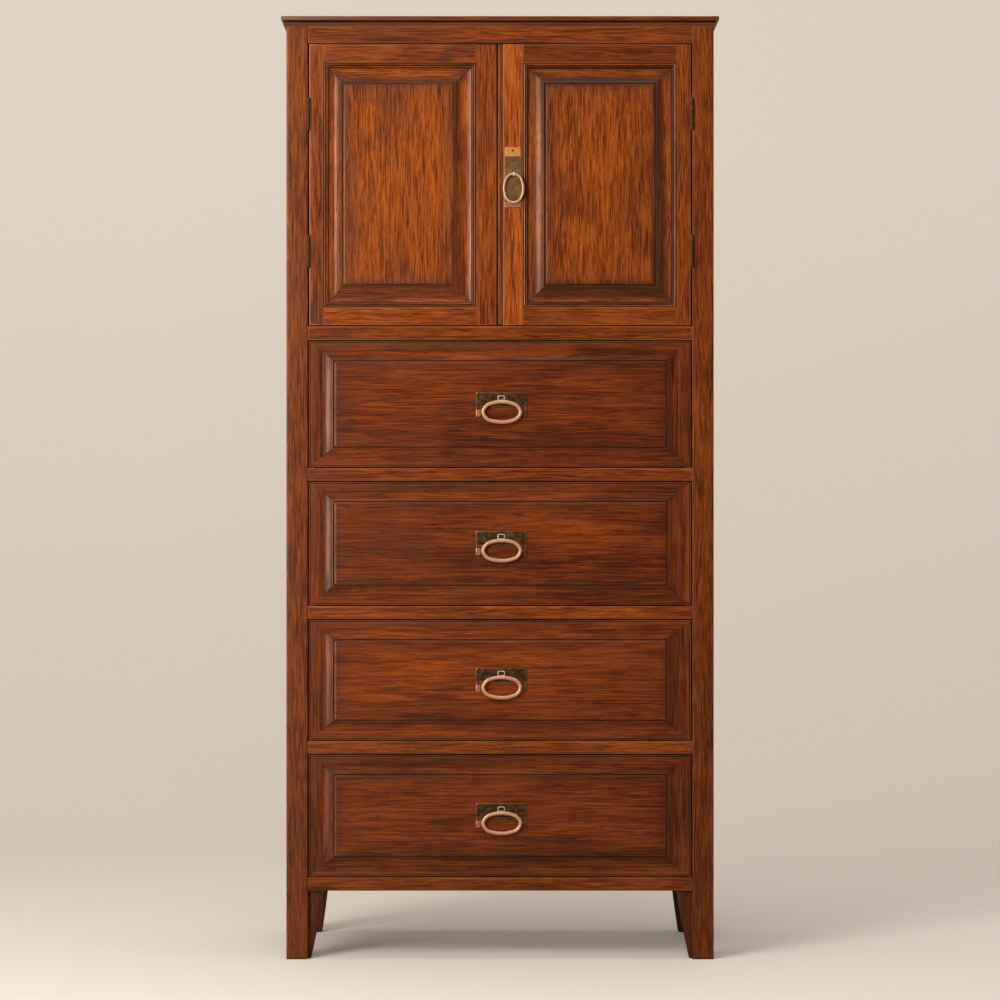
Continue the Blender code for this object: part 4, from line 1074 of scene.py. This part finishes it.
# drawer fronts
frontProfile = {
    # margins from the ends and from the long edges, and depth behind the rails' face, in millimetres
    "border": (
        (0.1, 0.2, 0.4), (0.35, 0.8, 0.0), (1.8, 2.0, 0.0), (2.3, 2.5, 0.4), (3.4, 3.6, 0.4), (3.9, 4.1, 0.0),
        (20.0, 14.5, 0.0), (23.4, 17.2, 0.0), (23.9, 17.7, 0.2), (24.3, 18.1, 0.9),
    ),
    # the sloping bevel, a quirk beside the field, then the field's own arris
    "bevel": (
        (25.0, 18.8, 0.9), (28.0, 21.4, 0.9), (30.5, 23.5, 0.82), (33.0, 25.4, 0.55), (35.5, 27.4, 0.05),
        (38.0, 29.3, -0.75), (40.5, 31.3, -1.75), (42.6, 32.9, -2.65), (44.2, 34.2, -3.4), (45.0, 35.0, -3.7),
        (45.6, 35.7, -3.6), (46.1, 36.3, -2.9), (47.3, 37.7, -2.8),
    ),
    "arris": (
        (47.9, 38.3, -4.3), (48.4, 38.8, -4.8), (49.1, 39.5, -5.0), (53.5, 43.3, -5.0), (60, 49, -5.0),
        (72, 58, -5.0), (98, 78, -5.0),
    ),
    # the front's ends and back, behind sideDepth, are a little darker
    "from": 0.9, "sideDepth": 3.0, "sideGlaze": 0.2,
    # glaze and painted shade by margin from the ends and from the long edges, with painted shadow under the rail
    # above and painted shade on the far bevel
    "shadeX": (
        (0, 0.8), (0.4, 0.65), (1.8, 0.25), (2.4, 0.75), (3.4, 0.75), (3.9, 0.15), (20, 0.1), (23.4, 0.3),
        (24.3, 0.6), (25.5, 0.3), (28, 0.05), (40, 0.0), (44.2, 0.2), (46.1, 1.0), (47.3, 1.0), (48.4, 0.2),
        (49.1, 0.2), (53.5, 0.55), (60, 0.34), (72, 0.20), (98, 0.0),
    ),
    "shadeZ": (
        (0, 1.0), (0.9, 0.6), (2.0, 0.4), (2.6, 0.9), (3.6, 0.9), (4.1, 0.25), (14.5, 0.15), (17.2, 0.2),
        (18.1, 0.4), (19.3, 0.2), (22, 0.0), (31, 0.0), (34.2, 0.2), (36.3, 1.0), (37.7, 1.0), (38.8, 0.2),
        (39.5, 0.2), (43.3, 0.45), (49, 0.30), (58, 0.14), (78, 0.0),
    ),
    "shadeTop": ((0, 1.0), (2, 0.85), (3.6, 0.95), (4.1, 0.6), (14.5, 0.38), (17.2, 0.25), (18, 0.0)),
    "shadeFar": ((24, 0.0), (25, 0.30), (40, 0.42), (45, 0.50), (46, 0.0)),
    # how dark each drawer's field is at its far end, and how that fades
    "farEnd": (0.45, 0.0, 0.40, 0.0), "farFade": ((46, 0.0), (49, 1.0), (72, 0.85), (98, 0.5), (140, 0.0)),
    "mitreZone": ((23.9, 0), (25.0, 1), (46.0, 1), (48.2, 0)),
}


def buildDrawerFront(number):
    node = f"drawer_{number}_front"
    low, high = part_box(node)
    profile = frontProfile
    middleX, middleZ = (low.x + high.x) / 2, (low.z + high.z) / 2
    line = profile["border"] + profile["bevel"] + profile["arris"]
    endMargin = [(marginZ, marginX) for marginX, marginZ, depth in line]
    steps = [(marginX * mm, marginZ * mm, faceY + depth * mm, 0.0, 0.0) for marginX, marginZ, depth in line]
    start = faceY + profile["from"] * mm
    block = mouldFront(low, high, start, high.y, steps, (middleX, faceY, middleZ))

    def margins(co):
        return min(co.x - low.x, high.x - co.x) / mm, min(co.z - low.z, high.z - co.z) / mm

    def shade(co):
        if co.y >= faceY + profile["sideDepth"] * mm:
            return profile["sideGlaze"]
        across, upright = margins(co)
        extra, atFar = 0.0, co.x > middleX
        # painted shade on the far bevel, and painted shadow under the rail above
        if atFar and across < tableAt(endMargin, upright) + 0.5:
            extra = tableAt(profile["shadeFar"], across)
        elif co.z > middleZ:
            extra = tableAt(profile["shadeTop"], upright)
        if atFar:
            extra = max(extra, profile["farEnd"][number - 1] * tableAt(profile["farFade"], across))
        return max(extra, tableAt(profile["shadeX"], across), tableAt(profile["shadeZ"], upright))

    def mitre(co):
        across, upright = margins(co)
        upright = tableAt(endMargin, upright)
        return across, upright, tableAt(profile["mitreZone"], min(across, upright))

    finishPiece(block, f"{node}Raised", node, drawerWood, shade, smoothAngle=32, mitre=mitre)


for drawerNumber in drawers:
    buildDrawerFront(drawerNumber)
print("drawer fronts dressed")


# ring pulls
def addRing(pivot, box, pull):
    # an oval of round wire that hangs from its pivot: square fills out its corners, taper narrows its top
    selectOnly()
    bpy.ops.mesh.primitive_circle_add(vertices=72, radius=1)
    ring = bpy.context.active_object
    fill = ring.modifiers.new("fill", "CAST")
    fill.cast_type = "CUBOID"
    fill.factor = pull["square"]
    fill.use_z = False
    bpy.ops.object.modifier_apply(modifier="fill")
    if "taper" in pull:
        narrow = ring.modifiers.new("narrow", "SIMPLE_DEFORM")
        narrow.deform_method = "TAPER"
        narrow.deform_axis = "Y"
        narrow.factor = pull["taper"]
        bpy.ops.object.modifier_apply(modifier="narrow")
    wide = box[1].x - box[0].x + pull["wider"] - 2 * pull["wire"]
    tall = box[1].z - box[0].z + pull["taller"] - 2 * pull["wire"]
    ring.scale = (wide / ring.dimensions.x, tall / ring.dimensions.y, 1)
    ring.rotation_euler = (quarterTurn, 0, 0)
    bpy.ops.object.transform_apply()
    highest = max(vert.co.z for vert in ring.data.vertices)
    ring.location = pivot + Vector((pull["wider"] / 2, 0, -highest))
    bpy.ops.object.transform_apply()
    bpy.ops.object.convert(target="CURVE")
    ring.data.bevel_depth = pull["wire"]
    ring.data.bevel_resolution = 5
    ring.data.use_fill_caps = True
    bpy.ops.object.convert(target="MESH")
    return bpy.context.active_object


def addBarrel(centre, radius, length, ribs=1):
    # a collar along x, with soft ends and shallow grooves
    rib = length / ribs
    first = centre - Vector(((length - rib) / 2, 0, 0))
    barrel = softDrum(first, radius, rib, 32, (0, quarterTurn, 0))
    return joinPieces([barrel] + [copyPiece(barrel, (k * rib, 0, 0)) for k in range(1, ribs)])


def pivotOf(joint):
    return Vector(next(row["pos_m"] for row in frame["joints"] if row["name"] == joint))


def metalBlock(rangeX, rangeY, rangeZ, radius, band=1 * mm, segments=2):
    return easeBlock(*zip(rangeX, rangeY, rangeZ), radius, segments, band)


drawerPull = {
    # where the pull sits beside the CAD's, and its ring
    "aside": 2.4 * mm, "lifts": (-1.5 * mm, 0.4 * mm, 0.0, 0.4 * mm),
    "wire": 3.6 * mm, "square": 0.10, "wider": 1.6 * mm, "taller": 0.5 * mm,
    # the plate, its neck (half sizes), the two tabs (width, height) and the strips above them
    "thick": 2 * mm, "let": 0.5 * mm, "body": 27 * mm, "neck": (4 * mm, 1.6 * mm), "tabBase": 45 * mm,
    "tab": (9.0 * mm, 13.0 * mm), "tabOut": 0.4 * mm,
    "farTab": 6.5 * mm, "farDrop": 1 * mm, "farOut": 0.2 * mm,
    "strip": 3 * mm, "farStrip": 3.5 * mm, "stripIn": 0.3 * mm, "lap": 1 * mm,
    # pins and peg (place aside and drop in millimetres, then radius and height), collar, staple (width,
    # height, depth) and the steps of its sunk face
    "pins": ((-21.3, 8.3), (23.0, 7.9)), "pin": (1.5 * mm, 0.7 * mm),
    "pegAt": (-45.4, 1.6), "peg": (1.9 * mm, 1.0 * mm),
    "collar": 13 * mm, "collarRadius": 3.7 * mm, "ribs": 4,
    "staple": (13.2 * mm, 9.4 * mm, 1.8 * mm), "stapleTop": 5.6 * mm, "stapleRound": 2.2 * mm,
    "stapleSteps": ((0.5, 0.3), (0.7, 0.0), (0.4, -0.5), (0.2, -1.3)),
}


def buildStaple(seat, top):
    wide, tall, thick = drawerPull["staple"]
    roof = top - drawerPull["stapleTop"]
    staple = addBlock((-wide / 2, seat - thick, roof - tall), (wide / 2, seat + drawerPull["let"], roof))

    def onRoof(edge):
        return abs(edge.verts[0].co.y - edge.verts[1].co.y) > mm and edge.verts[0].co.z > roof - mm

    editMesh()
    roundEdges(staple, onRoof, drawerPull["stapleRound"], 4)
    pickFaces(staple, lambda face: face.normal.y < -0.9)
    for inset, rise in drawerPull["stapleSteps"]:
        bpy.ops.mesh.inset(thickness=inset * mm, depth=rise * mm)
    leaveMesh()
    return staple


def buildDrawerPull():
    # modelled on the top drawer, then copied to the others
    pull = drawerPull
    low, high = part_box("drawer_1_pull_plate")
    pivot = pivotOf("drawer_1_ring_swing")
    back, seat, top = high.y, high.y - pull["thick"], high.z
    under, base, lap = top - pull["body"], top - pull["tabBase"], pull["lap"]
    tabWide, tabTall = pull["tab"]
    neckX, neckZ = pull["neck"]
    stripY = (seat + pull["stripIn"], back)
    plate = metalBlock((low.x, high.x), (seat, back), (under, top), 0.6 * mm, 1.2 * mm)
    neck = metalBlock(
        (-neckX, neckX), (pivot.y, seat + pull["let"]), (pivot.z - neckZ, pivot.z + neckZ), 0.4 * mm
    )
    farStrip = metalBlock(
        (high.x - pull["farStrip"], high.x), stripY, (base + tabTall - 2 * lap, under + lap), 0.5 * mm
    )
    strip = metalBlock((low.x, low.x + pull["strip"]), stripY, (base + tabTall - lap, under + lap), 0.5 * mm)
    farBase = base - pull["farDrop"]
    farTab = metalBlock(
        (high.x - pull["farTab"], high.x), (seat - pull["farOut"], back), (farBase, farBase + tabTall),
        0.7 * mm, 1.2 * mm,
    )
    tab = metalBlock(
        (low.x, low.x + tabWide), (seat - pull["tabOut"], back), (base, base + tabTall), 0.8 * mm, 1.2 * mm
    )
    pins = [addStud((x * mm, seat, top - drop * mm), *pull["pin"]) for x, drop in pull["pins"]]
    pegX, pegDrop = pull["pegAt"]
    peg = addStud((pegX * mm, seat, top - pegDrop * mm), *pull["peg"])
    parts = {
        "FarTab": (farTab, "dimCopper"),
        "Band": (joinPieces([plate, neck, farStrip, strip]), "plateBronze"),
        "Tab": (tab, "tabCopper"),
        "Pins": (joinPieces(pins), "plateBronze"),
        "Peg": (peg, "tabCopper"),
        "Staple": (buildStaple(seat, top), "stapleSteel"),
        "Collar": (addBarrel(pivot, pull["collarRadius"], pull["collar"], pull["ribs"]), "ringCopper"),
    }
    ring = addRing(pivot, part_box("drawer_1_pull_ring"), pull)
    for number, lift in zip(drawers, pull["lifts"]):
        shift = (pull["aside"], 0, pivotOf(f"drawer_{number}_ring_swing").z - pivot.z + lift)
        plateNode, ringNode = f"drawer_{number}_pull_plate", f"drawer_{number}_pull_ring"
        for word, (part, metal) in parts.items():
            copied = copyPiece(part, shift)
            finishPiece(copied, f"{plateNode}{word}", plateNode, metals[metal], replaced=word == "Band")
        finishPiece(copyPiece(ring, shift), f"{ringNode}Oval", ringNode, metals["ringCopper"])
    dropPieces([part for part, metal in parts.values()] + [ring])


doorPull = {
    # how much higher the plate sits than the CAD's, and the ring
    "raise": 2.4 * mm, "wire": 2.5 * mm, "square": 0.06, "taper": -0.04, "wider": 2.4 * mm, "taller": 0.0,
    # the plate, its neck (half sizes), the eye, the post and the cap (width, height, depth) and the foot
    "thick": 2 * mm, "let": 0.5 * mm, "neck": (2 * mm, 1.4 * mm), "eye": 4 * mm, "eyeRadius": 2.2 * mm,
    "post": (3.4 * mm, 7.4 * mm, 3.4 * mm), "postAside": 0.4 * mm, "postDrop": 4 * mm, "postRound": 1.2 * mm,
    "cap": (28.4 * mm, 17.3 * mm, 0.9 * mm), "capDrop": 0.4 * mm,
    "foot": 9.5 * mm, "footIn": 0.3 * mm, "footOut": 0.35 * mm,
    # nail in the cap, and marks on the plate (place aside and drop in millimetres)
    "nailDrop": 6.8 * mm, "nail": (2.1 * mm, 0.6 * mm),
    "marks": ((-0.6, 20.6), (-0.2, 26.6)), "mark": (1.3 * mm, 0.4 * mm),
}


def buildDoorPull():
    pull = doorPull
    plateNode, ringNode = "door_pull_plate", "door_pull_ring"
    low, high = (corner + Vector((0, 0, pull["raise"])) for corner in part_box(plateNode))
    pivot = pivotOf("door_ring_swing")
    back, seat, top = high.y, high.y - pull["thick"], high.z
    centre, let = (low.x + high.x) / 2, seat + pull["let"]
    neckX, neckZ = pull["neck"]
    plate = metalBlock((low.x, high.x), (seat, back), (low.z, top), 0.7 * mm, 1.3 * mm)
    neck = metalBlock(
        (pivot.x - neckX, pivot.x + neckX), (pivot.y, let), (pivot.z - neckZ, pivot.z + neckZ), 0.3 * mm
    )
    wide, tall, out = pull["post"]
    postX, postZ = pivot.x + pull["postAside"], pivot.z - pull["postDrop"]
    post = metalBlock(
        (postX, postX + wide), (pivot.y - out, let), (postZ, postZ + tall), pull["postRound"], segments=3
    )
    wide, tall, thick = pull["cap"]
    capTop = top - pull["capDrop"]
    cap = metalBlock(
        (centre - wide / 2, centre + wide / 2), (seat - thick, let), (capTop - tall, capTop),
        0.4 * mm, 1.2 * mm,
    )
    nails = [addStud((centre, seat - thick, top - pull["nailDrop"]), *pull["nail"])]
    nails += [addStud((centre + x * mm, seat, top - drop * mm), *pull["mark"]) for x, drop in pull["marks"]]
    footIn = pull["footIn"]
    foot = metalBlock(
        (low.x + footIn, high.x - footIn), (seat - pull["footOut"], let),
        (low.z + footIn, low.z + pull["foot"]), 0.3 * mm, 1.2 * mm,
    )
    parts = {
        "Bronze": (joinPieces([plate, neck]), "doorBronze"),
        "Eye": (addBarrel(pivot, pull["eyeRadius"], pull["eye"]), "nailIron"),
        "Post": (post, "stapleSteel"),
        "Cap": (cap, "capBrass"),
        "Nails": (joinPieces(nails), "nailIron"),
        "Foot": (foot, "tabCopper"),
    }
    for word, (part, metal) in parts.items():
        finishPiece(part, f"{plateNode}{word}", plateNode, metals[metal], replaced=word == "Bronze")
    ring = addRing(pivot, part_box(ringNode), pull)
    finishPiece(ring, "door_pull_ringOval", ringNode, metals["ringBrass"])


buildDrawerPull()
buildDoorPull()
print("pulls dressed")


# boards that keep their CAD shape get a finish
innerFinish = {"back_panel": innerTall}
for boardName in ("dust_board_1", "dust_board_2", "dust_board_3", "base_board", "cupboard_shelf"):
    innerFinish[boardName] = innerLong
for drawerNumber in drawers:
    innerFinish[f"drawer_{drawerNumber}_box"] = innerDeep
    innerFinish[f"drawer_{drawerNumber}_bottom"] = innerLong
for boardName, material in innerFinish.items():
    board = frame["nodes"][boardName]
    board.data.materials.clear()
    board.data.materials.append(material)
print("inner boards finished")
